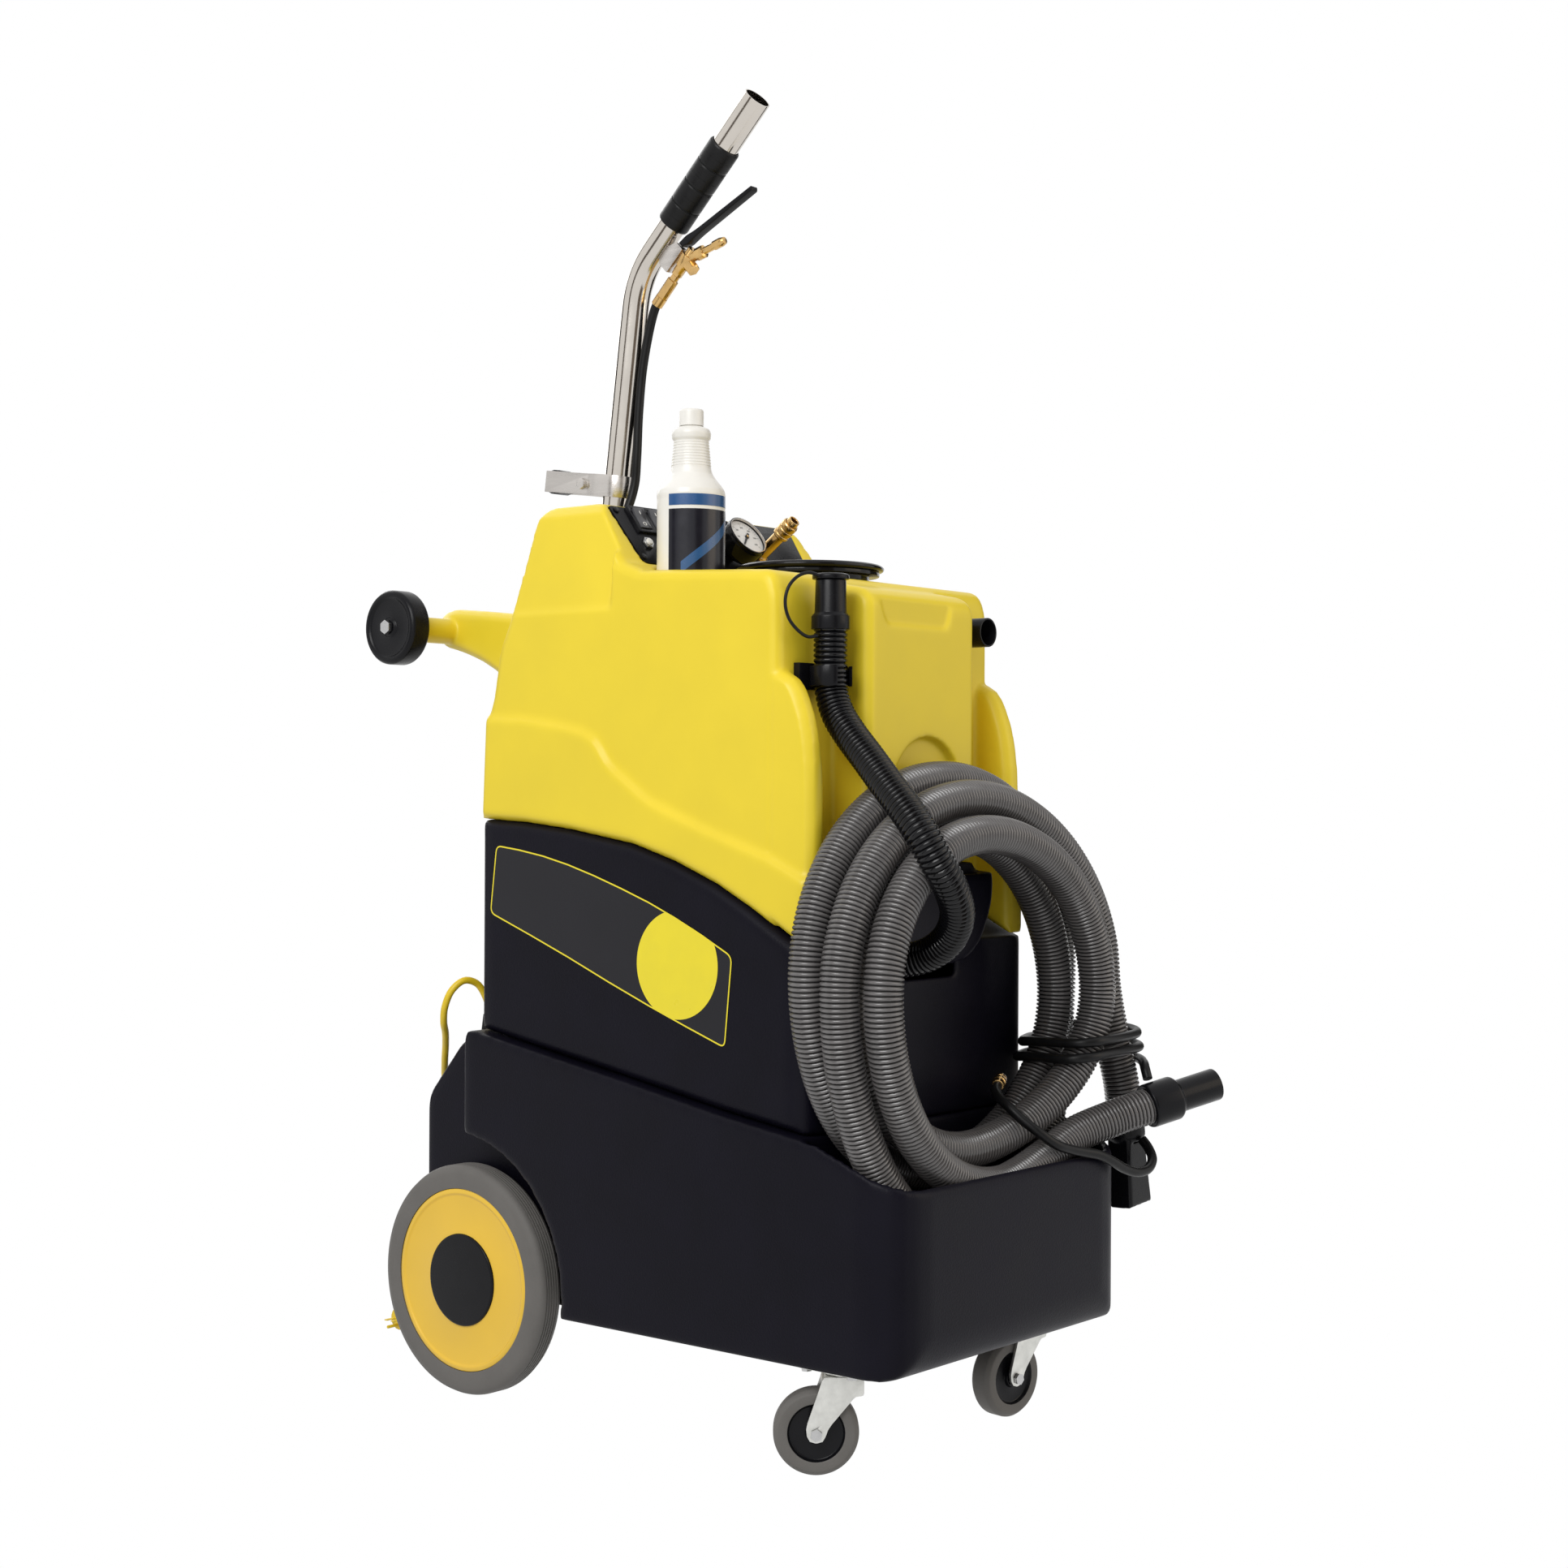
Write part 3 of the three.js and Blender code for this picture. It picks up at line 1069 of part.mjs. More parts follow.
function drainClip() {
  const z = [928, 960];
  const r = drainRadius + 0.9;
  const [cx, cy] = [-156.3, -315.2];
  const back = channelY - seatGap;
  const low = [-pillarIn + seatGap + 0.2, -blockHalf - seatGap - 0.2];
  const plate = solid(block(low, [back - 9, back], z));
  const grab = solid(ring(r + 4, r, z[1] - z[0] - 8, [cx, cy, z[0] + 4], [0, 0, 1], 24));
  const mouth = solid(block([cx - 14, cx + 14], [cy - 60, cy], [z[0] - 5, z[1] + 5]));
  const bore = solid(rod(r, [cx, cy, z[0] - 5], [cx, cy, z[1] + 5], 24));
  return plate.add(grab).subtract(bore).subtract(mouth);
}

// ---------------------------------------------------------------- inside
function vacuumMotor(x) {
  return turned([[0, 0], [58, 0], [70, 8], [70, 60], [56, 66], [46, 70], [46, 118], [30, 126], [0, 126]],
    [x, -190, baseBottom + shellWall + seatGap], [0, 0, 1], 20);
}
function pump() {
  const floor = baseBottom + shellWall + seatGap;
  const head = solid(block([-40, 34], [60, 130], [floor, floor + 78]));
  const motor = solid(rod(36, [34, 95, floor + 40], [150, 95, floor + 40], 18));
  return head.add(motor);
}
function shutOff() {
  const floor = 768;
  return turned([[0, 0], [26, 0], [26, 4], [19, 6], [19, 190], [34, 196], [34, 236], [26, 240], [0, 240]],
    [60, 60, floor], [0, 0, 1], 16);
}

// ---------------------------------------------------------------- mains cord
const glandFoot = [-160, 275, 470 + seatGap];
const glandHeight = 30;
function strainRelief() {
  return turned([[0, 0], [14, 0], [14, 6], [9.5, 8], [7, glandHeight], [0, glandHeight]], glandFoot, [0, 0, 1], 14);
}
const coilCentre = [113, 600];
const mainsRoute = [
  [-160, 275, 500.6], [-160, 275, 510], [-163, 278, 524], [-175, 282, 542], [-193, 288, 547],
  [-208, 296, 534], [-213, 304, 512], [-207, 313, 491], [-192, 326, 474], [-176, 343, 455], [-160, 362, 430],
  [-140, 383, 398], [-118, 396, 350], [-96, 402, 290], [-72, 408, 220], [-48, 416, 150], [-22, 430, 88],
  [8, 450, 42], [38, 468, 18], [58, 480, 8.5], [70, 495, 5.6], [75.6, 508.6, 5.4],
];
const mainsCoilMid = 76;
const mainsPitch = 10.4;
function coilSolid() {
  const inner = mainsCoilMid - 2 * mainsPitch;
  const outer = mainsCoilMid + 2 * mainsPitch;
  return ring(outer, inner, 3 * mainsPitch, [...coilCentre, 0.4], [0, 0, 1], 28);
}

function powerPlug() {
  const [x, y, z] = plugFoot;
  const body = solid(turned([[0, 0], [6.5, 0], [11, 14], [17, 22], [17, 48], [15, 50], [0, 50]], [x, y, z], [-1, 0, 0], 18));
  const pins = [[7, 0], [-7, 0]].map(([dy, dz]) =>
    solid(block([x - 68, x - 48], [y + dy - 3, y + dy + 3], [z + dz - 0.8, z + dz + 0.8])));
  const earth = solid(rod(2.4, [x - 48, y, z - 9], [x - 70, y, z - 9], 10));
  return joined(body, ...pins, earth);
}
const plugFoot = [15.6, 600, 17.6];

// ---------------------------------------------------------------- assembly
add('base_chassis', baseChassis(), black);
add('solution_tank', solutionTank(), black);
add('recovery_tank', recoveryTank(), yellow);
add('control_panel', controlPanel(), black);
add('rocker_left', rocker(-rockerPitch / 2), darkRubber);
add('rocker_right', rocker(rockerPitch / 2), darkRubber);
add('breaker_button', panelRod(breakerRadius, breakerX, breakerUp, -12, 7, 16), white);
add('gauge_body', gaugeBody(), black);
add('gauge_needle', gaugeNeedle(), black);
add('coupler_body', couplerBody(), brass);
add('coupler_sleeve', couplerSleeve(), brass);
add('lid_ring', lidRing(), black);
add('lid', lid(), clear);
add('vacuum_inlet', vacuumInlet(), black);
add('bottle', bottle(), white);
add('bottle_cap', bottleCap(), white);
add('handle_bar', handleBar(), yellow);
add('handle_axle', handleAxle(), steel);
add('rear_axle', rearAxle(), steel);
for (const [side, s] of [['left', -1], ['right', 1]]) {
  add(`roller_${side}`, roller(s), darkRubber);
  add(`rear_tyre_${side}`, rearTyre(s), rubber);
  add(`rear_hub_${side}`, rearHub(s), yellow);
  const turn = s < 0 ? casterLeftTurn : casterRightTurn;
  add(`caster_plate_${side}`, casterTopPlate(s * casterX), steel);
  add(`caster_fork_${side}`, casterFork(s * casterX, turn), steel);
  add(`caster_wheel_${side}`, casterWheel(s * casterX, turn), rubber);
  add(`vacuum_motor_${side}`, vacuumMotor(s * 88), steel);
}
add('wand_tube', wandTube(), chrome);
add('wand_grip', wandGrip(), darkRubber);
add('valve_bracket', valveBracket(), steel);
add('valve_body', valveBody(), brass);
add('valve_lever', valveLever(), black);
add('wand_hose', wandHose(), darkRubber);
add('wand_head', wandHead(), steel);
add('assist_handle', assistHandle(), steel);
add('assist_grip', assistGrip(), darkRubber);
const coil = coilPoints();
add('vacuum_hose', ribbedHose(coil, { radius: hoseRadius, rib: hoseRib, bore: hoseBore - 4, ribs: 66, boreEvery: 1 }), hosePlastic);
add('wand_cuff', wandCuff(), black);
add('machine_cuff', machineCuff(), black);
add('solution_lead', cord(leadPoints(), leadRadius, 6, 64), darkRubber);
add('solution_lead_two', cord(leadTwo, leadRadius, 6, 28), darkRubber);
const leadStop = leadTail[leadTail.length - 1];
add('lead_plug', hosePlug([leadStop[0], leadStop[1], leadStop[2] - seatGap], [0, 0, -1]), brass);
const twoEnd = at(leadTwo[leadTwo.length - 1]);
const twoWay = twoEnd.clone().sub(at(leadTwo[leadTwo.length - 2])).normalize();
add('lead_coupling', hosePlug(twoEnd.clone().addScaledVector(twoWay, seatGap).toArray(), twoWay.toArray()), brass);
add('drain_outlet', drainOutlet(), black);
add('drain_hose', ribbedHose([...drainRoute, drainEnd],
  { radius: drainRadius, rib: drainRib, bore: drainBore - 2, ribs: 32, boreEvery: 1 }), darkRubber);
add('drain_cuff', drainCuff(), black);
add('drain_cap', drainCap(), black);
add('drain_clip', drainClip(), black);
add('pump', pump(), brass);
add('shut_off_float', shutOff(), white);
add('strain_relief', strainRelief(), darkRubber);
add('mains_cord', cord(mainsRoute, mainsRadius, 6, 30), yellow);
add('mains_coil', coilSolid(), yellow);
add('power_plug', powerPlug(), yellow);

const gaps = { vacuum_hose: leastSelfGap(coil, hoseRadius), solution_lead: leastSelfGap(leadPoints(), leadRadius) };
for (const [name, { gap, length, where }] of Object.entries(gaps)) {
  console.log(`${name}: least self-gap ${gap.toFixed(2)} mm, length ${length.toFixed(0)} mm`,
    where.map((p) => p.toArray().map((v) => Math.round(v))).join(' | '));
}

export default machine;
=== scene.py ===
"""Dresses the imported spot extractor: moulded shells, turned parts, hoses, labels, materials and light."""

import math

import bmesh
import bpy
import numpy as np
from mathutils import Matrix, Vector


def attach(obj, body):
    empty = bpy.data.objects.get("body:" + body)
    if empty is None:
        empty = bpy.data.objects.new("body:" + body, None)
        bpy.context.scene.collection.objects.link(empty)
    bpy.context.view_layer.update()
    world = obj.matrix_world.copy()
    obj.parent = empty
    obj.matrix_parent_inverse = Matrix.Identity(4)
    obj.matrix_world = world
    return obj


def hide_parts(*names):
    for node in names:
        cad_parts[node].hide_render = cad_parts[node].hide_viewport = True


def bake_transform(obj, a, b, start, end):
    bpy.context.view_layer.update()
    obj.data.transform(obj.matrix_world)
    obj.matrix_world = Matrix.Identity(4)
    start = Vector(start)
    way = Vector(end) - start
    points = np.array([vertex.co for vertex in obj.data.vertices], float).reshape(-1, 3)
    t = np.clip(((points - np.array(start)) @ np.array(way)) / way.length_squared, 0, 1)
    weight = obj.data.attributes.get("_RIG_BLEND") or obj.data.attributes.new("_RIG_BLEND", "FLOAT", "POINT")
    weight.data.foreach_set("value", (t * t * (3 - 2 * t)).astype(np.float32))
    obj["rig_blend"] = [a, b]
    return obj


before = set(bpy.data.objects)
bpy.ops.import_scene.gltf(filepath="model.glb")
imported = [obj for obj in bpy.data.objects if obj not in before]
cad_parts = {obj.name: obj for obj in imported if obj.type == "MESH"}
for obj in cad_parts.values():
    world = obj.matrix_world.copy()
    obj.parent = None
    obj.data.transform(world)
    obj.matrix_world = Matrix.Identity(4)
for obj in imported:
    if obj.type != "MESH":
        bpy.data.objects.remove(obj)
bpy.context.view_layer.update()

MM = 0.001
DATUM_Y = 24.1          # the part's frame lies this far behind the machine's own datum, in mm
UP = (0, 0, 1)


def at(x, y, z):
    """A point given in the machine's millimetres, in metres in the part's frame."""
    return Vector((x * MM, (y + DATUM_Y) * MM, z * MM))


def new_object(name, data):
    thing = bpy.data.objects.new(name, data)
    bpy.context.scene.collection.objects.link(thing)
    return thing


# ---------------------------------------------------------------- camera
FOCAL_MM = 54.68
EYE = at(-2403.4, -2103.5, 802.8)
YAW, PITCH, ROLL = (math.radians(a) for a in (50.37, 0.22, 0.27))


def make_camera():
    forward = Vector((math.sin(YAW) * math.cos(PITCH), math.cos(YAW) * math.cos(PITCH), math.sin(PITCH)))
    level = Vector((math.cos(YAW), -math.sin(YAW), 0))
    upright = level.cross(forward)
    right = level * math.cos(ROLL) + upright * math.sin(ROLL)
    up = upright * math.cos(ROLL) - level * math.sin(ROLL)
    data = bpy.data.cameras.new("camera")
    data.lens = FOCAL_MM
    data.sensor_width = 36
    camera = new_object("camera", data)
    turn = Matrix((right, up, -forward)).transposed().to_4x4()
    camera.matrix_world = Matrix.Translation(EYE) @ turn
    bpy.context.scene.camera = camera


make_camera()


# ---------------------------------------------------------------- materials
def add_node(tree, kind, values=None):
    """A new shader node with some of its sockets set."""
    node = tree.nodes.new(f"ShaderNode{kind}")
    for socket, value in (values or {}).items():
        node.inputs[socket].default_value = value
    return node


def surface(name, colour, roughness, metallic=0.0, vary=0.08, grain=60, bump=0.05, bump_scale=400,
            stretch=(1, 1, 1), rough_vary=0.08, transmission=0.0, shine=0.5, grooves=0.0):
    """A procedural finish: cloudy colour and roughness, and a fine bump. grooves paints shade into its hollows and a
    highlight onto its crests.
    """
    material = bpy.data.materials.new(name)
    material.use_nodes = True
    tree = material.node_tree
    link = tree.links.new
    shader = tree.nodes["Principled BSDF"]
    shader.inputs["Metallic"].default_value = metallic
    shader.inputs["Specular IOR Level"].default_value = shine
    shader.inputs["Transmission Weight"].default_value = transmission
    place = add_node(tree, "TexCoord")
    size = add_node(tree, "Mapping", {"Scale": stretch})
    link(place.outputs["Object"], size.inputs["Vector"])

    clouds = add_node(tree, "TexNoise", {"Scale": grain, "Detail": 4})
    link(size.outputs["Vector"], clouds.inputs["Vector"])
    ramp = add_node(tree, "ValToRGB")
    darker, lighter = ramp.color_ramp.elements
    darker.position, lighter.position = 0.3, 0.7
    darker.color = (*[c * (1 - vary) for c in colour], 1)
    lighter.color = (*[min(1, c * (1 + vary)) for c in colour], 1)
    link(clouds.outputs["Fac"], ramp.inputs["Fac"])
    link(ramp.outputs["Color"], shader.inputs["Base Color"])
    # Painted shade in the hollows and painted highlight on the crests, from Pointiness.
    if grooves:
        paint_groove_shade_and_highlight(tree, ramp.outputs["Color"], shader, grooves)
    spread = add_node(tree, "MapRange", {"To Min": max(0.02, roughness - rough_vary),
                                         "To Max": min(1, roughness + rough_vary)})
    link(clouds.outputs["Fac"], spread.inputs["Value"])
    link(spread.outputs["Result"], shader.inputs["Roughness"])

    fine = add_node(tree, "TexNoise", {"Scale": bump_scale, "Detail": 3})
    link(size.outputs["Vector"], fine.inputs["Vector"])
    relief = add_node(tree, "Bump", {"Strength": bump, "Distance": MM})
    link(fine.outputs["Fac"], relief.inputs["Height"])
    link(relief.outputs["Normal"], shader.inputs["Normal"])
    return material


def paint_groove_shade_and_highlight(tree, colour, shader, grooves):
    """Paints shade into hollows and a highlight onto crests, by darkening and lightening the colour by the share
    given.
    """
    link = tree.links.new
    edge = add_node(tree, "NewGeometry")
    share = add_node(tree, "MapRange", {"From Min": 0.45, "From Max": 0.56,
                                        "To Min": 1 - grooves, "To Max": 1 + grooves})
    link(edge.outputs["Pointiness"], share.inputs["Value"])
    scaled = add_node(tree, "VectorMath")
    scaled.operation = "SCALE"
    link(colour, scaled.inputs["Vector"])
    link(share.outputs["Result"], scaled.inputs["Scale"])
    link(scaled.outputs["Vector"], shader.inputs["Base Color"])


YELLOW = (0.86, 0.66, 0.032)
YELLOW_SHELL = surface("yellow_shell", YELLOW, 0.4, vary=0.03, grain=9, bump=0.1, bump_scale=260, shine=0.4)
YELLOW_HUB = surface("yellow_hub", (0.9, 0.57, 0.05), 0.34, vary=0.03, grain=12, bump=0.06, bump_scale=300)
BLACK_SHELL = surface("black_shell", (0.0045, 0.004, 0.0085), 0.4, vary=0.15, grain=14, bump=0.3, bump_scale=420,
                      shine=0.1)
BLACK_GLOSS = surface("black_gloss", (0.005, 0.005, 0.006), 0.14, vary=0.1, grain=30, bump=0.03, shine=0.22)
BLACK_SATIN = surface("black_satin", (0.0055, 0.0055, 0.007), 0.27, vary=0.12, grain=40, bump=0.1, bump_scale=700,
                      shine=0.16)
BLACK_RUBBER = surface("black_rubber", (0.006, 0.006, 0.0065), 0.36, vary=0.2, grain=70, bump=0.12, bump_scale=900,
                       shine=0.2)
GREY_TYRE = surface("grey_tyre", (0.15, 0.142, 0.132), 0.6, vary=0.07, grain=25, bump=0.25, bump_scale=500,
                    shine=0.3)
# The grey hose's grooves share is painted shade in its hollows and painted highlight on its ribs.
GREY_HOSE = surface("grey_hose", (0.07, 0.066, 0.065), 0.24, vary=0.12, grain=18, bump=0.04, bump_scale=500,
                    shine=0.7, grooves=0.85)
HOSE_BLACK = surface("hose_black", (0.004, 0.004, 0.005), 0.12, vary=0.1, grain=40, bump=0.03, shine=0.28)
CHROME = surface("chrome", (0.6, 0.56, 0.51), 0.12, metallic=1, vary=0.04, grain=25, bump=0.01, rough_vary=0.04)
BRUSHED = surface("brushed_steel", (0.58, 0.55, 0.52), 0.28, metallic=1, vary=0.06, grain=30, bump=0.12,
                  bump_scale=260, stretch=(1, 0.06, 6))
ZINC = surface("zinc", (0.62, 0.62, 0.59), 0.36, metallic=1, vary=0.1, grain=90, bump=0.08, bump_scale=300)
STEEL = surface("steel", (0.5, 0.5, 0.5), 0.28, metallic=1, vary=0.08, grain=60)
BRASS = surface("brass", (0.62, 0.4, 0.16), 0.24, metallic=1, vary=0.12, grain=80, bump=0.06, bump_scale=500)
WHITE_PLASTIC = surface("white_plastic", (0.84, 0.82, 0.77), 0.32, vary=0.03, grain=25, bump=0.06, bump_scale=300)
CLEAR = surface("clear_plastic", (0.75, 0.8, 0.82), 0.08, vary=0.02, grain=8, bump=0.02, rough_vary=0.04,
                transmission=0.85)
DIAL_WHITE = surface("dial_white", (0.93, 0.92, 0.9), 0.4, vary=0.02, grain=60, bump=0.0)
DIAL_BLACK = surface("dial_black", (0.012, 0.012, 0.012), 0.4, vary=0.1, grain=60, bump=0.0)
DECAL_BLACK = surface("decal_film", (0.0085, 0.008, 0.0115), 0.24, vary=0.1, grain=12, bump=0.04, shine=0.25)
DECAL_YELLOW = surface("decal_ink", (0.87, 0.72, 0.02), 0.3, vary=0.02, grain=40, bump=0.02)
LABEL_BLUE = surface("label_blue", (0.02, 0.085, 0.24), 0.26, vary=0.06, grain=60, bump=0.02)
LABEL_DARK = surface("label_dark", (0.006, 0.006, 0.012), 0.24, vary=0.1, grain=60, bump=0.02, shine=0.35)
SMOKE = surface("smoked_lens", (0.06, 0.06, 0.066), 0.16, vary=0.1, grain=120, bump=0.05)
CORD_YELLOW = surface("yellow_cord", (0.85, 0.6, 0.02), 0.4, vary=0.05, grain=60, bump=0.1)


# ---------------------------------------------------------------- making pieces
def new_piece(name, vertices, faces, look, body, replaces=(), sharp=40):
    """A mesh piece that rides on a CAD body and stands for the CAD nodes it replaces."""
    mesh = bpy.data.meshes.new(name)
    mesh.from_pydata([tuple(v) for v in vertices], [], [tuple(f) for f in faces])
    return finish_piece(name, mesh, look, body, replaces, sharp)


def finish_piece(name, mesh, look, body, replaces=(), sharp=40):
    mesh.validate()
    mesh.update()
    for material in look if isinstance(look, (list, tuple)) else [look]:
        mesh.materials.append(material)
    mesh.shade_smooth()
    if sharp:
        mesh.set_sharp_from_angle(angle=math.radians(sharp))
    piece = new_object(name, mesh)
    if body:
        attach(piece, body)
    if replaces:
        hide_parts(*replaces)
    return piece


def merged_copy(node):
    """A copy of a CAD node's mesh with its shared corners joined."""
    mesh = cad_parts[node].data.copy()
    mesh.materials.clear()
    work = bmesh.new()
    work.from_mesh(mesh)
    bmesh.ops.remove_doubles(work, verts=work.verts, dist=1e-5)
    work.to_mesh(mesh)
    work.free()
    for attribute in [a.name for a in mesh.attributes if a.name in ("custom_normal", "sharp_edge")]:
        mesh.attributes.remove(mesh.attributes[attribute])
    return mesh


def baked(mesh, modifiers):
    """The mesh after a list of (type, settings) modifiers."""
    helper = new_object("helper", mesh)
    for kind, settings in modifiers:
        modifier = helper.modifiers.new(kind.lower(), kind)
        for key, value in settings.items():
            setattr(modifier, key, value)
    depsgraph = bpy.context.evaluated_depsgraph_get()
    result = bpy.data.meshes.new_from_object(helper.evaluated_get(depsgraph))
    bpy.data.objects.remove(helper)
    return result


def moulded(node, body, look, voxel, rounds):
    """A moulded shell: the CAD solid with its edges rounded over."""
    steps = [
        ("REMESH", {"mode": "VOXEL", "voxel_size": voxel * MM}),
        ("SMOOTH", {"factor": 0.5, "iterations": rounds}),
    ]
    mesh = baked(merged_copy(node), steps)
    return finish_piece(f"{node}_shell", mesh, look, body, [node], sharp=0)


def crisp(node, body, look, bevel):
    """A made or pressed part: the CAD solid with a small round on each edge."""
    settings = {"width": bevel * MM, "segments": 2, "limit_method": "ANGLE", "angle_limit": math.radians(35)}
    mesh = baked(merged_copy(node), [("BEVEL", settings)])
    return finish_piece(f"{node}_finish", mesh, look, body, [node], sharp=32)


def frame_along(direction):
    """Three axes with the last along direction."""
    w = Vector(direction).normalized()
    u = w.orthogonal().normalized()
    return u, w.cross(u), w


def profile_of(node, foot, direction):
    """The outline that a turned CAD node was turned from, as (radius, height) in metres."""
    mesh = merged_copy(node)
    u, v, w = frame_along(direction)
    places = [vertex.co - foot for vertex in mesh.vertices]
    heights = [p.dot(w) for p in places]
    across = [(p.dot(u), p.dot(v)) for p in places]
    radii = [math.hypot(*a) for a in across]
    widest = max(range(len(radii)), key=lambda i: radii[i])
    angle = math.atan2(across[widest][1], across[widest][0])

    def in_slice(i):
        if radii[i] < 1e-5:
            return True
        off = math.atan2(across[i][1], across[i][0]) - angle
        return abs(math.remainder(off, 2 * math.pi)) * radii[i] < 1e-4

    chosen = {i for i in range(len(radii)) if in_slice(i)}
    reach = {i: [] for i in chosen}
    for edge in mesh.edges:
        a, b = edge.vertices
        if a in chosen and b in chosen and not (radii[a] < 1e-5 and radii[b] < 1e-5):
            reach[a].append(b)
            reach[b].append(a)
    ends = [i for i in chosen if len(reach[i]) == 1]
    here = min(ends, key=lambda i: heights[i]) if ends else widest
    order, seen = [here], {here}
    while True:
        step = [i for i in reach[order[-1]] if i not in seen]
        if not step:
            break
        order.append(step[0])
        seen.add(step[0])
    bpy.data.meshes.remove(mesh)
    return [(radii[i], heights[i]) for i in order], not ends


def softened(profile, closed, radius):
    """The profile with its corners cut by small rounds."""
    count = len(profile)
    result = []
    for i, (r, h) in enumerate(profile):
        if not closed and i in (0, count - 1):
            result.append((r, h))
            continue
        p = Vector((r, h))
        before = Vector(profile[i - 1]) - p
        after = Vector(profile[(i + 1) % count]) - p
        cut = min(radius, before.length * 0.4, after.length * 0.4)
        a, b = p + before.normalized() * cut, p + after.normalized() * cut
        for t in (0, 0.5, 1):
            q = a * (1 - t) ** 2 + p * 2 * t * (1 - t) + b * t ** 2
            result.append((max(q.x, 0), q.y))
    return result


def grooved(profile, pitch, depth):
    """The profile with grooves round its widest flat stretch."""
    widest = max(r for r, _ in profile)
    result = []
    for (r0, h0), (r1, h1) in zip(profile, profile[1:] + profile[:1]):
        result.append((r0, h0))
        if min(r0, r1) < widest - 1e-5 or abs(h1 - h0) < 2 * pitch:
            continue
        count = int(abs(h1 - h0) / pitch)
        step = (h1 - h0) / count
        for k in range(count):
            foot = h0 + (k + 0.3) * step
            result += [(widest, foot), (widest - depth, foot + 0.12 * step),
                       (widest - depth, foot + 0.35 * step), (widest, foot + 0.47 * step)]
    return result


def spun(name, profile, closed, foot, direction, look, body, replaces=(), sides=96, split=None, sharp=40):
    """A turned piece. With split, faces whose middle radius is below it take the second material."""
    u, v, w = frame_along(direction)
    foot = Vector(foot)
    vertices, rings = [], []
    for r, h in profile:
        if r < 1e-6:
            rings.append([len(vertices)] * sides)
            vertices.append(foot + w * h)
            continue
        rings.append(list(range(len(vertices), len(vertices) + sides)))
        for k in range(sides):
            a = 2 * math.pi * k / sides
            vertices.append(foot + w * h + u * (r * math.cos(a)) + v * (r * math.sin(a)))
    faces, inner = [], []
    pairs = list(zip(range(len(rings) - 1), range(1, len(rings))))
    if closed:
        pairs.append((len(rings) - 1, 0))
    for i, j in pairs:
        for k in range(sides):
            m = (k + 1) % sides
            face = [rings[i][k], rings[i][m], rings[j][m], rings[j][k]]
            face = list(dict.fromkeys(face))
            if len(face) > 2:
                faces.append(face)
                inner.append(split is not None and (profile[i][0] + profile[j][0]) / 2 < split)
    mesh = bpy.data.meshes.new(name)
    mesh.from_pydata(vertices, [], faces)
    for polygon, flag in zip(mesh.polygons, inner):
        polygon.material_index = int(flag)
    work = bmesh.new()
    work.from_mesh(mesh)
    bmesh.ops.recalc_face_normals(work, faces=work.faces)
    work.to_mesh(mesh)
    work.free()
    return finish_piece(name, mesh, look, body, replaces, sharp)


def lathed(name, profile, closed, soften, foot, direction, look, body, replaces=(), sides=96):
    """A turned piece from a profile in millimetres, its corners cut by rounds of soften millimetres."""
    profile = [(r * MM, h * MM) for r, h in profile]
    if soften:
        profile = softened(profile, closed, soften * MM)
    return spun(name, profile, closed, foot, direction, look, body, replaces, sides)


def turned(node, body, foot, direction, look, soften=0.8, sides=96, split=None, grooves=None):
    """A turned CAD node, turned again in the same profile with many more sides."""
    profile, closed = profile_of(node, Vector(foot), direction)
    if grooves:
        profile = grooved(profile, *grooves)
    else:
        profile = softened(profile, closed, soften * MM)
    return spun(f"{node}_turned", profile, closed, foot, direction, look, body, [node], sides, split)


# ---------------------------------------------------------------- tubes and hoses
def smooth_route(points, spacing):
    """A centripetal Catmull-Rom curve through the points, sampled evenly, in metres."""
    p = [np.array(q, float) for q in points]
    p = [2 * p[0] - p[1], *p, 2 * p[-1] - p[-2]]
    dense = []
    for a, b, c, d in zip(p, p[1:], p[2:], p[3:]):
        da, db, dc = (max(np.linalg.norm(y - x) ** 0.5, 1e-6) for x, y in ((a, b), (b, c), (c, d)))
        t1 = ((b - a) / da - (c - a) / (da + db) + (c - b) / db) * db
        t2 = ((c - b) / db - (d - b) / (db + dc) + (d - c) / dc) * db
        t = np.linspace(0, 1, 40, endpoint=False)[:, None]
        dense.append(b + t1 * t + (3 * (c - b) - 2 * t1 - t2) * t ** 2 + (2 * (b - c) + t1 + t2) * t ** 3)
    dense = np.vstack([*dense, p[-2]])
    along = np.concatenate([[0], np.cumsum(np.linalg.norm(np.diff(dense, axis=0), axis=1))])
    count = max(2, int(round(along[-1] / spacing)))
    even = np.linspace(0, along[-1], count + 1)
    return np.stack([np.interp(even, along, dense[:, k]) for k in range(3)], 1), along[-1]


def carried_frames(centres):
    """Axes across a route, carried along it without twist."""
    ahead = np.gradient(centres, axis=0)
    ahead /= np.linalg.norm(ahead, axis=1)[:, None]
    side = np.cross(ahead[0], [0.3, 0.2, 0.93])
    sides = []
    for way in ahead:
        side = side - way * side.dot(way)
        side = side / np.linalg.norm(side)
        sides.append(side)
    sides = np.array(sides)
    return sides, np.cross(ahead, sides)


def band(a, b, sides, inward=False):
    """The faces between two rings whose points start at a and b."""
    faces = [[a + k, a + (k + 1) % sides, b + (k + 1) % sides, b + k] for k in range(sides)]
    return [[f[0], f[3], f[2], f[1]] for f in faces] if inward else faces


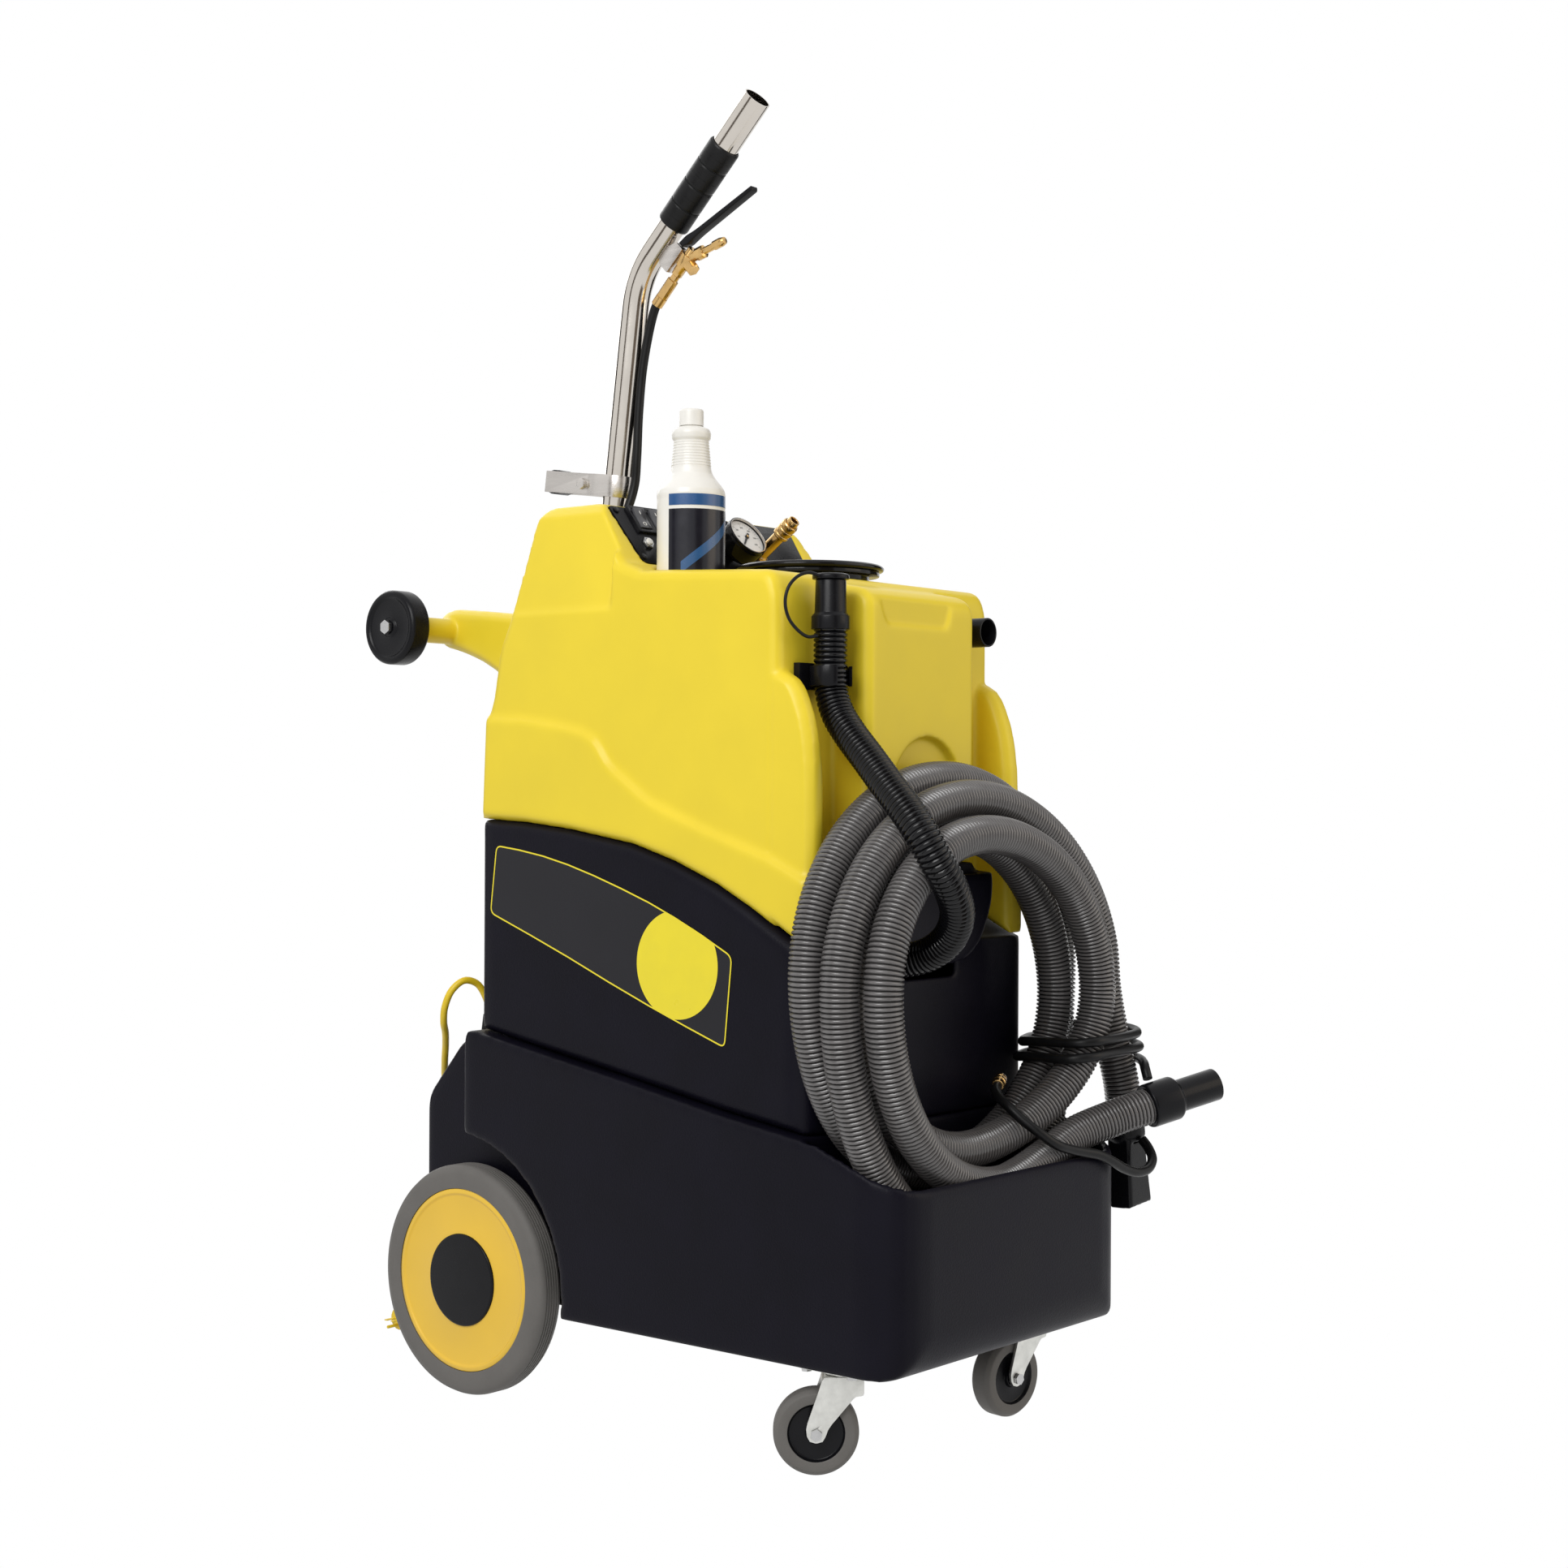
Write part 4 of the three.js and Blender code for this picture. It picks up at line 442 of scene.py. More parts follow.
def sweep(name, points, radii, look, body, replaces=(), spacing=0.004, sides=16, bore=0.0):
    """A tube along a route. radii gives the radius at each sample, in turn."""
    centres, length = smooth_route(points, spacing)
    across, over = carried_frames(centres)
    angles = 2 * np.pi * np.arange(sides) / sides
    circle = np.cos(angles)[None, :, None] * across[:, None] + np.sin(angles)[None, :, None] * over[:, None]
    size = np.resize(np.array(radii, float), len(centres))
    rings = centres[:, None] + circle * size[:, None, None]
    vertices = list(rings.reshape(-1, 3))
    last = (len(centres) - 1) * sides
    faces = [face for a in range(0, last, sides) for face in band(a, a + sides, sides)]
    if bore:
        start = len(vertices)
        inner = centres[:, None] + circle * bore
        vertices += list(inner.reshape(-1, 3))
        for a in range(start, start + last, sides):
            faces += band(a, a + sides, sides, inward=True)
        faces += band(0, start, sides, inward=True) + band(last, start + last, sides)
    else:
        faces += [list(range(sides))[::-1], list(range(last, last + sides))]
    piece = new_piece(name, vertices, faces, look, body, replaces, sharp=60)
    return piece, centres, length


def lay_cord(name, route, radii, look, slot, stands_for, spacing, sides, step, ends, **facts):
    """A hose or cord along a route of places in metres. The pieces for its ends are not used."""
    cord, centres, length = sweep(name, route, radii, look, "machine", stands_for, spacing, sides)


# ---------------------------------------------------------------- vacuum hose
HOSE_RADIUS = 0.024
HOSE_ROOT = 0.0206
HOSE_PITCH = 0.0056
COIL_STEPS = 6
COIL_STATIONS = [
    dict(right=(275, -432, 545), top=(0, -413, 797), left=(-263, -415, 573), foot=(0, -424, 256)),
    dict(right=(268, -365, 600), top=(5, -367, 820), left=(-259, -365, 590), foot=(-16, -365, 336)),
    dict(right=(211, -398, 543), top=(10, -385, 755), left=(-206, -391, 558), foot=(-11, -413, 366)),
    dict(right=(221, -456, 550), top=(-25, -451, 754), left=(-236, -457, 572), foot=(10, -450, 325)),
]
HOSE_START = [(303, -447, 380), (301, -446, 404), (297, -445, 428), (286, -439, 480)]
HOSE_END = [(60, -450, 332.5), (120, -450, 350), (172, -456, 370), (222, -476, 386), (247, -490, 394),
            (268, -502, 400)]


def quarter_turn(p, q, from_side):
    """A quarter of a turn between a side of the coil and its top or foot."""
    points = []
    for i in range(COIL_STEPS):
        a = math.pi / 2 * i / COIL_STEPS
        s, c = math.sin(a), math.cos(a)
        y = p[1] + (q[1] - p[1]) * (1 - math.cos(2 * a)) / 2
        if from_side:
            points.append((q[0] + (p[0] - q[0]) * c, y, p[2] + (q[2] - p[2]) * s))
        else:
            points.append((p[0] + (q[0] - p[0]) * s, y, q[2] + (p[2] - q[2]) * c))
    return points


def coil_route():
    stops = [turn[key] for turn in COIL_STATIONS for key in ("right", "top", "left", "foot")]
    turns = []
    for i, (p, q) in enumerate(zip(stops, stops[1:])):
        turns += quarter_turn(p, q, i % 2 == 0)
    return [at(*p) for p in [*HOSE_START, *turns, stops[-1], *HOSE_END]]


def ribs(root, crest):
    """One rib of a hose as four samples."""
    return [root, root + (crest - root) * 0.8, crest, root + (crest - root) * 0.8]


lay_cord("vacuum_hose_ribbed", coil_route(), ribs(HOSE_ROOT, HOSE_RADIUS), GREY_HOSE, "hose_plastic",
         ["vacuum_hose"], HOSE_PITCH / 4, 16, 4, ["wand_cuff", "machine_cuff"],
         exit=at(*HOSE_START[0]), far_end="tool", stiffness="medium", lay="coiled")


# ---------------------------------------------------------------- drain hose
DRAIN_RADIUS = 0.021
DRAIN_ROOT = 0.0182
DRAIN_PITCH = 0.0062
DRAIN_MOUTH = (-142, -366, 602)
DRAIN_ROUTE = [
    (-157, -315, 1000), (-157, -315, 962), (-156, -315, 940), (-156, -317, 922), (-158, -328, 898),
    (-163, -350, 874), (-172, -384, 845), (-185, -424, 812), (-195, -458, 784), (-200, -486, 754),
    (-190, -499, 724), (-166, -501, 694), (-136, -489, 662), (-116, -462, 632), (-112, -430, 612),
    (-121, -401, 604), (-141.5, -366.9, 602),
]

lay_cord("drain_hose_ribbed", [at(*p) for p in reversed(DRAIN_ROUTE)], ribs(DRAIN_ROOT, DRAIN_RADIUS), HOSE_BLACK,
         "black_rubber", ["drain_hose"], DRAIN_PITCH / 4, 18, 4, ["drain_cuff", "drain_cap"],
         exit=at(*DRAIN_MOUTH), far_end="fitting", stiffness="limp", lay="hanging")


# ---------------------------------------------------------------- solution hoses
LEAD_RADIUS = 0.0063
WRAP_CLEAR = 24 + 6.3 + 3.4          # both radii and the gap between the bundle and the lead, in mm
WRAP_START = 50         # degrees before the first strand's own side
WRAP_RISE = 19          # mm for each turn
BUNDLE = [
    (452, [(186, -393), (242, -376), (291, -441), (181, -445)]),
    (495, [(204, -398), (256, -370), (283, -438), (206, -449)]),
]
LEAD_START = [(279, -497, 434.5), (284, -490, 447), (297, -480, 452)]
LEAD_TAIL = [(291, -344, 492), (304, -340, 481), (306, -340, 468), (306, -340, 454)]
LEAD_TWO = [
    (300, -476, 352), (299, -486, 342), (291, -497, 330), (272, -503, 320), (246, -503, 318), (220, -500, 325),
    (194, -498, 337), (168, -494, 348), (142, -488, 354), (116, -483, 360), (92, -479, 368), (74, -468, 382),
    (64, -448, 398), (61, -430, 412), (66, -411, 423), (79, -396, 430), (98, -386, 433),
]


def wrap_point(degrees):
    """Where the lead lies round the bundle of hose, that many degrees along its wrap."""
    a = math.radians(degrees - WRAP_START)
    way = Vector((math.cos(a), math.sin(a)))
    (low, first), (high, second) = BUNDLE
    z = low + 2 + WRAP_RISE * degrees / 360
    share = (z - low) / (high - low)
    spots = [Vector(p).lerp(Vector(q), share) for p, q in zip(first, second)]
    spot = max(spots, key=way.dot)
    return (spot.x + WRAP_CLEAR * way.x, spot.y + WRAP_CLEAR * way.y, z)


wraps = [wrap_point(degrees) for degrees in range(12, 801, 26)]
for name, stops, ends, lay in (
    ("solution_lead", [*LEAD_START, *wraps, *LEAD_TAIL], ["lead_plug"], "coiled"),
    ("solution_lead_two", LEAD_TWO, ["lead_coupling"], "loose"),
):
    lay_cord(f"{name}_tube", [at(*p) for p in stops], [LEAD_RADIUS], BLACK_RUBBER, "black_rubber", [name], 0.003, 16,
             2, ends, exit=at(*stops[0]), far_end="fitting", stiffness="limp", lay=lay)


# ---------------------------------------------------------------- mains cord
MAINS_RADIUS = 0.0048
COIL_CENTRE = (113, 600)
COIL_MIDDLE = 76        # mean radius of the coil, in mm
COIL_PITCH = 10.6
COIL_FLOOR = 5.3        # height of the lowest layer's axis
COIL_COLUMNS = 4
COIL_LAYERS = 3
COIL_START = -58        # degrees at which the cord comes in, and leaves
COIL_ENDS_AT = 90
MAINS_ROUTE = [
    (-160, 275, 500.6), (-160, 275, 510), (-163, 278, 524), (-175, 282, 542), (-193, 288, 547),
    (-208, 296, 534), (-213, 304, 512), (-207, 313, 491), (-192, 326, 474), (-176, 343, 455), (-160, 362, 430),
    (-140, 383, 398), (-118, 396, 350), (-96, 402, 290), (-72, 408, 220), (-48, 418, 150), (-22, 434, 88),
    (8, 454, 42), (36, 470, 18), (60, 483, 8.5), (92, 496, 5.4), (124, 506, 5.2),
]
PLUG_ROUTE = [(92, 662, 30), (72, 650, 30.5), (56, 630, 30), (45, 612, 27), (32, 602, 20.5), (22, 600, 17.9),
              (16.1, 600, 17.6)]


def floor_coil():
    """The turns of the mains cord's coil: in, out and in again, one layer on another."""
    steps = 24
    half_width = COIL_PITCH * (COIL_COLUMNS - 1) / 2
    outer, inner = COIL_MIDDLE + half_width, COIL_MIDDLE - half_width
    whole = COIL_COLUMNS * COIL_LAYERS - 1 + (COIL_ENDS_AT - COIL_START) / 360
    points = []
    for i in range(int(whole * steps) + 1):
        turn = i / steps
        layer = min(int(turn / COIL_COLUMNS), COIL_LAYERS - 1)
        share = min((turn - layer * COIL_COLUMNS) / (COIL_COLUMNS - 0.6), 1)
        radius = outer + (inner - outer) * (share if layer % 2 == 0 else 1 - share)
        climb = max(0.0, (turn - (layer + 1) * COIL_COLUMNS + 0.5) / 0.5)
        z = COIL_FLOOR + COIL_PITCH * min(layer + (climb if layer < COIL_LAYERS - 1 else 0), COIL_LAYERS - 1)
        a = math.radians(COIL_START) + 2 * math.pi * turn
        points.append((COIL_CENTRE[0] + radius * math.cos(a), COIL_CENTRE[1] + radius * math.sin(a), z))
    return points


lay_cord("mains_cord_wound", [at(*p) for p in [*MAINS_ROUTE, *floor_coil(), *PLUG_ROUTE]], [MAINS_RADIUS],
         CORD_YELLOW, "yellow_cord", ["mains_cord", "mains_coil"], 0.004, 12, 1, ["power_plug"],
         exit=at(*MAINS_ROUTE[0]), far_end="plug", stiffness="medium", lay="coiled")


# ---------------------------------------------------------------- moulded shells
SHELLS = [
    ("base_chassis", BLACK_SHELL, "black_shell", 4.5, 9),
    ("solution_tank", BLACK_SHELL, "black_shell", 4.5, 7),
    ("recovery_tank", YELLOW_SHELL, "yellow_shell", 3.0, 9),
    ("handle_bar", YELLOW_SHELL, "yellow_shell", 2.5, 8),
    ("machine_cuff", BLACK_SATIN, "black_plastic", 1.2, 14),
]
for node, look, slot, voxel, rounds in SHELLS:
    moulded(node, "machine", look, voxel, rounds)


# ---------------------------------------------------------------- side decals
DECAL_X = 232
DECAL_TOP = [(185, 733), (142, 728), (98, 721), (53, 711), (6, 698), (-42, 683), (-89, 667), (-132, 650), (-175, 631),
             (-226, 606)]
DECAL_LOW = [(-215, 494), (-150, 516), (-90, 537), (-20, 563), (52, 591), (120, 616), (196, 643)]
DISC_CENTRE = (-136, 591)
DISC_RADIUS = 67
DISC_SIDES = 192


def rounded_loop(points, radius, steps=6):
    """A closed outline with its corners rounded."""
    loop = []
    count = len(points)
    for i, p in enumerate(points):
        p = Vector(p)
        before, after = Vector(points[i - 1]) - p, Vector(points[(i + 1) % count]) - p
        bend = before.normalized().dot(after.normalized())
        if bend < -0.9:
            loop.append(p)
            continue
        cut = min(radius, before.length * 0.45, after.length * 0.45)
        a, b = p + before.normalized() * cut, p + after.normalized() * cut
        for k in range(steps + 1):
            t = k / steps
            loop.append(a * (1 - t) ** 2 + p * 2 * t * (1 - t) + b * t ** 2)
    return loop


def height_at(edge, y):
    """The height of one edge of the decal at y."""
    spots = sorted(edge)
    return float(np.interp(y, [p[0] for p in spots], [p[1] for p in spots]))


def inset_loop(loop, amount):
    """The loop moved sideways by amount."""
    count = len(loop)
    moved = []
    for i, p in enumerate(loop):
        way = (loop[(i + 1) % count] - loop[i - 1]).normalized()
        moved.append(p + Vector((-way.y, way.x)) * amount)
    return moved


def make_side_decal(side):
    """A plain film with a thin outline and a plain disc on one side of the solution tank."""
    tag = "left" if side < 0 else "right"
    loop = rounded_loop([*DECAL_TOP, *DECAL_LOW], 10)

    def on_side(p, proud):
        return at(side * (DECAL_X + proud), p[0], p[1])

    film = [on_side(p, 0.5) for p in loop]
    new_piece(f"decal_film_{tag}", film, [list(range(len(film)))], DECAL_BLACK, "machine")
    inner = inset_loop(loop, 1.9)
    ribbon = [on_side(p, 0.7) for p in [*loop, *inner]]
    count = len(loop)
    faces = [[i, (i + 1) % count, count + (i + 1) % count, count + i] for i in range(count)]
    new_piece(f"decal_line_{tag}", ribbon, faces, DECAL_YELLOW, "machine")
    disc = []
    for k in range(DISC_SIDES):
        a = 2 * math.pi * k / DISC_SIDES
        y = DISC_CENTRE[0] + DISC_RADIUS * math.cos(a)
        low, high = (height_at(edge, y) for edge in (DECAL_LOW, DECAL_TOP))
        disc.append(on_side((y, min(max(DISC_CENTRE[1] + DISC_RADIUS * math.sin(a), low + 1), high - 1)), 0.8))
    new_piece(f"decal_disc_{tag}", disc, [list(range(DISC_SIDES))], DECAL_YELLOW, "machine")


for side in (-1, 1):
    make_side_decal(side)


# ---------------------------------------------------------------- wheels, casters and rollers
WHEEL_FACE, WHEEL_WIDTH, WHEEL_Y, WHEEL_R = 232.6, 42, 250, 152.4
CASTER_X, CASTER_Y = 188, -364
CASTER_TURN = {"left": 40, "right": 82}
CASTER_TRAIL, CASTER_R, CASTER_WIDTH = 32, 50.8, 31
FORK_LEG = 9            # from the wheel's side to the outside of the fork
PLATE_BOLTS = [(-27, -34), (27, -34), (27, 34), (-27, 34)]
ROLLER_INNER = 243 - 33


def caster_axis(side):
    turn = math.radians(CASTER_TURN[side])
    middle = Vector((CASTER_X if side == "right" else -CASTER_X, CASTER_Y))
    middle += CASTER_TRAIL * Vector((-math.sin(turn), math.cos(turn)))
    way = Vector((math.cos(turn), math.sin(turn), 0))
    return at(middle.x, middle.y, CASTER_R), way


def make_running_gear():
    for side, s in (("left", -1), ("right", 1)):
        foot, way = at(s * (WHEEL_FACE - WHEEL_WIDTH), WHEEL_Y, WHEEL_R), (s, 0, 0)
        body = f"rear_wheel_{side}"
        turned(f"rear_tyre_{side}", body, foot, way, GREY_TYRE, sides=128, grooves=(0.0042, 0.0013))
        turned(f"rear_hub_{side}", body, foot, way, [YELLOW_HUB, BLACK_SATIN], 1.2, 128, 0.0612)
        middle, way = caster_axis(side)
        foot = middle - way * (CASTER_WIDTH / 2 * MM)
        turned(f"caster_wheel_{side}", f"caster_{side}", foot, way, [GREY_TYRE, BLACK_SATIN], 1.5, 96,
               0.0345)
        crisp(f"caster_fork_{side}", f"swivel_{side}", ZINC, 0.8)
        crisp(f"caster_plate_{side}", "machine", ZINC, 0.8)
        reach = (CASTER_WIDTH / 2 + FORK_LEG) * MM
        nut = [(0, 0), (7.5, 0), (7.5, 4), (4, 4.6), (0, 4.6)]
        for end, tag in ((-1, "in"), (1, "out")):
            foot = middle + way * (end * reach) - way * (end * 0.002)
            lathed(f"caster_nut_{side}_{tag}", nut, False, 0, foot, way * end, STEEL, f"swivel_{side}",
                   sides=6)
        bolt = [(0, 0), (6.5, 0), (6.5, 4), (0, 4.5)]
        for k, (dx, dy) in enumerate(PLATE_BOLTS):
            foot = at(s * CASTER_X + dx, CASTER_Y + dy, 124.8)
            lathed(f"caster_bolt_{side}_{k}", bolt, False, 0, foot, (0, 0, -1), STEEL, "machine", sides=6)
        turned(f"roller_{side}", f"roller_{side}", at(s * ROLLER_INNER, 389, 1027), (s, 0, 0), BLACK_SATIN,
               2.0, 96)
    crisp("handle_axle", "machine", STEEL, 0.6)
    crisp("rear_axle", "machine", STEEL, 0.6)


make_running_gear()


# ---------------------------------------------------------------- control panel
PANEL_UP = Vector((0, 59, 81)).normalized()
PANEL_OUT = Vector((0, -81, 59)).normalized()


def on_panel(across, upward, outward):
    """A point given across the panel's face, up it and out of it, in the machine's millimetres."""
    p = Vector((0, 5.5, 1135.5)) + Vector((across, 0, 0)) + PANEL_UP * upward + PANEL_OUT * outward
    return at(*p)


def panel_disc(name, across, upward, low, high, radius, look, slot="black_plastic", sides=48, body="machine",
               hole=0.0, round_=0.5):
    profile = [(hole, 0), (radius, 0), (radius, high - low), (hole, high - low)]
    return lathed(name, profile, bool(hole), round_, on_panel(across, upward, low), PANEL_OUT, look, body,
                  sides=sides)


def panel_box(name, across, upward, low, high, width, height, look, body="machine", tilt=0.0):
    """A small bar on the panel's face."""
    turn = Matrix.Rotation(tilt, 2)
    corners = []
    for h in (low, high):
        for x, y in ((-width / 2, -height / 2), (width / 2, -height / 2), (width / 2, height / 2),
                     (-width / 2, height / 2)):
            p = turn @ Vector((x, y))
            corners.append(on_panel(across + p.x, upward + p.y, h))
    faces = [(3, 2, 1, 0), (4, 5, 6, 7), (0, 1, 5, 4), (1, 2, 6, 5), (2, 3, 7, 6), (3, 0, 4, 7)]
    return new_piece(name, corners, faces, look, body)


PANEL_SCREWS = [(-168, -38), (-100, -38), (100, -38), (164, -38), (-172, 40), (172, 40)]
SWITCHES = (-122, 25)
BREAKER = (-146, -14)


def make_panel():
    crisp("control_panel", "machine", BLACK_SATIN, 1.0)
    for k, (x, y) in enumerate(PANEL_SCREWS):
        panel_disc(f"panel_screw_{k}", x, y, 0, 2.2, 4.6, STEEL if k == 3 else BLACK_SATIN, sides=32, round_=1.2)
        panel_box(f"panel_slot_{k}", x, y, 2.0, 2.4, 6, 0.9, DIAL_BLACK, tilt=0.5 + k)
    for side, s in (("left", -1), ("right", 1)):
        crisp(f"rocker_{side}", f"switch_{side}", SMOKE, 0.8)
        x, y = SWITCHES[0] + s * 15, SWITCHES[1]
        panel_box(f"rocker_on_{side}", x, y + 9, 7.4, 8.0, 0.9, 6, WHITE_PLASTIC, f"switch_{side}")
        panel_disc(f"rocker_off_{side}", x, y - 9, 5.9, 6.5, 3, WHITE_PLASTIC, "white_plastic", 32, f"switch_{side}",
                   2.2, 0.1)
    panel_disc("breaker_nut", *BREAKER, 0.1, 3.6, 9, STEEL, "steel", 6, hole=5.8)
    panel_disc("breaker_collar", *BREAKER, 3.6, 4.6, 7.4, STEEL, "steel", 40, hole=5.8)
    turned("breaker_button", "breaker", on_panel(*BREAKER, -12), PANEL_OUT, WHITE_PLASTIC, 1.2, 40)


make_panel()

GAUGE = (18, -14)
GAUGE_R = 32
GAUGE_FACE = 35
GAUGE_TICKS = 30


def dial_point(angle, radius, lift):
    return on_panel(GAUGE[0] + radius * math.sin(angle), GAUGE[1] + radius * math.cos(angle), lift)


def make_gauge():
    foot = on_panel(*GAUGE, 0)
    r = GAUGE_R
    case = [(0, -18), (6, -18), (6, 0.3), (9, 0.3), (9, 6), (r - 6, 9), (r - 2, 13), (r, 17), (r, 34), (r - 0.8, 36),
            (r - 0.8, 39.4), (r - 1.6, 40), (r - 3, 40), (r - 3.6, 38.5), (r - 3.6, GAUGE_FACE), (0, GAUGE_FACE)]
    lathed("gauge_case", case, False, 0.6, foot, PANEL_OUT, BLACK_GLOSS, "machine", ["gauge_body"])
    panel_disc("gauge_dial", *GAUGE, GAUGE_FACE, GAUGE_FACE + 0.2, r - 3.8, DIAL_WHITE, "white_plastic", 96,
               round_=0.05)
    lift = GAUGE_FACE + 0.3
    for k in range(GAUGE_TICKS + 1):
        angle = math.radians(270 * k / GAUGE_TICKS - 135)
        major = k % 5 == 0
        outer, inner, half = 24.5, 20.6 if major else 22.6, 0.36 if major else 0.18
        across = half / outer
        corners = [dial_point(angle - across, outer, lift), dial_point(angle + across, outer, lift),
                   dial_point(angle + across, inner, lift), dial_point(angle - across, inner, lift)]
        new_piece(f"gauge_tick_{k}", corners, [(3, 2, 1, 0)], DIAL_BLACK, "machine")
        if major:
            number(str(k // 5 * 100), angle)
    crisp("gauge_needle", "needle", DIAL_BLACK, 0.2)
    panel_disc("gauge_pin", *GAUGE, GAUGE_FACE + 2.5, GAUGE_FACE + 3.2, 2.2, BRASS, "brass", 24, "needle")
    panel_disc("gauge_rim", *GAUGE, 37.2, 40.2, r - 2.2, CHROME, "chromed", 96, hole=r - 3.7)
    plug = on_panel(GAUGE[0] - 14, GAUGE[1] + 25.5, 24)
    lathed("gauge_plug", [(0, 0), (5.4, 0), (6, 1), (6, 6), (4.6, 7.4), (0, 7.6)], False, 0, plug,
           PANEL_UP * 0.87 - Vector((0.49, 0, 0)), BLACK_RUBBER, "machine", sides=40)


def number(text, angle):
    """A number on the dial, as flat letters."""
    font = bpy.data.curves.new("number", "FONT")
    font.body = text
    font.size = 4.2 * MM
    font.align_x = "CENTER"
    font.align_y = "CENTER"
    helper = new_object("number", font)
    mesh = bpy.data.meshes.new_from_object(helper.evaluated_get(bpy.context.evaluated_depsgraph_get()))
    bpy.data.objects.remove(helper)
    turn = Matrix((Vector((1, 0, 0)), PANEL_UP, PANEL_OUT)).transposed().to_4x4()
    mesh.transform(Matrix.Translation(dial_point(angle, 16.4, GAUGE_FACE + 0.35)) @ turn)
    finish_piece(f"gauge_number_{text}", mesh, DIAL_BLACK, "machine", sharp=0)


make_gauge()

COUPLER = (67, -20)


def make_coupler():
    foot = on_panel(*COUPLER, 0)
    barrel = [(0, -18), (8, -18), (8, 0.3), (11, 0.3), (11, 12), (8.6, 14.5), (8.6, 79), (7.8, 84), (5.8, 84),
              (5.5, 82), (5.5, 62), (0, 62)]
    lathed("coupler_barrel", barrel, False, 0.5, foot, PANEL_OUT, BRASS, "machine", ["coupler_body"], 72)
    sleeve = [(9, 52), (10.6, 52), (11.4, 53.5), (11.4, 57), (10.4, 58), (10.4, 59.6), (11.5, 60.6), (11.5, 66),
              (10.6, 67), (10.6, 68.6), (11.5, 69.6), (11.5, 75), (10.4, 77), (9, 77)]
    lathed("coupler_sleeve_turned", sleeve, True, 0.35, foot, PANEL_OUT, BRASS, "sleeve",
           ["coupler_sleeve"], 72)
    panel_disc("coupler_nut", *COUPLER, 1, 11, 12.4, BRASS, "brass", 6, hole=11.1)


make_coupler()


# ---------------------------------------------------------------- lid, inlet, bottle
def make_top():
    mouth = at(0, -155, 0)
    turned("lid_ring", "machine", mouth, UP, BLACK_GLOSS, 1.2, 128)
    turned("lid", "lid", mouth, UP, [BLACK_GLOSS, CLEAR], 1.4, 128, 0.0705)
    turned("vacuum_inlet", "machine", at(150, -333, 1013), (0, 1, 0), BLACK_SATIN, 1.2, 96)


make_top()

BOTTLE = (-139, -72, 1058)
BOTTLE_R = 43.6
LABEL_LEFT, STRIPE_LEFT, LABEL_RIGHT = 182, 205, 322      # degrees round the bottle


def label_strip(name, low, high, first, look, lift=0.25, slant=0.0):
    """A strip of label round the bottle, between two heights, from an angle to the label's right end."""
    steps = 48
    points = []
    for k in range(steps + 1):
        angle = math.radians(first + (LABEL_RIGHT - first) * k / steps)
        rise = slant * (k / steps - 0.5)
        for z in (low, high):
            r = BOTTLE_R + lift
            points.append(at(BOTTLE[0] + r * math.cos(angle), BOTTLE[1] + r * math.sin(angle), BOTTLE[2] + z + rise))
    faces = [(2 * k, 2 * k + 2, 2 * k + 3, 2 * k + 1) for k in range(steps)]
    return new_piece(name, points, faces, look, "bottle", sharp=0)


BOTTLE_PROFILE = [
    (0, 0), (39, 0), (43.5, 4), (44.2, 10), (43.4, 40), (43.4, 118), (44, 124), (42.8, 130), (38, 137), (32, 144),
    (27.5, 151), (25.4, 158), (22, 193), (24.6, 196.5), (25.2, 203), (23.4, 208), (16, 211.4), (13.4, 212),
    (13.4, 220), (10.5, 220), (10.5, 206), (19, 190), (23, 156), (36, 134), (40, 120), (40, 8), (0, 6),
]
CAP_PROFILE = [(0, 221), (13.6, 221), (13.9, 213), (15.4, 212.4), (15.6, 214), (15.6, 231), (14.6, 233.6), (0, 234)]


def make_bottle():
    foot = at(*BOTTLE)
    lathed("bottle_turned", BOTTLE_PROFILE, False, 1.2, foot, UP, WHITE_PLASTIC, "bottle",
           ["bottle"])
    for k in range(9):
        z = 160.5 + 3.7 * k
        r = 25 - 3.4 * (z - 158) / 36
        ring = [(r - 0.5, 0), (r + 0.7, 0.8), (r + 0.7, 1.8), (r - 0.5, 2.6)]
        lathed(f"bottle_rib_{k}", ring, True, 0, foot + Vector((0, 0, z * MM)), UP, WHITE_PLASTIC, "bottle",
               sides=72)
    lathed("bottle_cap_turned", CAP_PROFILE, False, 0.5, foot, UP, WHITE_PLASTIC, "bottle_cap",
           ["bottle_cap"], 72)
    label_strip("label_band", 107.5, 122, LABEL_LEFT, LABEL_BLUE)
    label_strip("label_block", 14, 103, LABEL_LEFT, LABEL_DARK)
    rise = 0.79 * math.radians(LABEL_RIGHT - STRIPE_LEFT) * BOTTLE_R
    label_strip("label_stripe_edge", 53, 74, STRIPE_LEFT, WHITE_PLASTIC, 0.2, rise)
    label_strip("label_stripe", 56, 71, STRIPE_LEFT, LABEL_BLUE, 0.4, rise)


make_bottle()


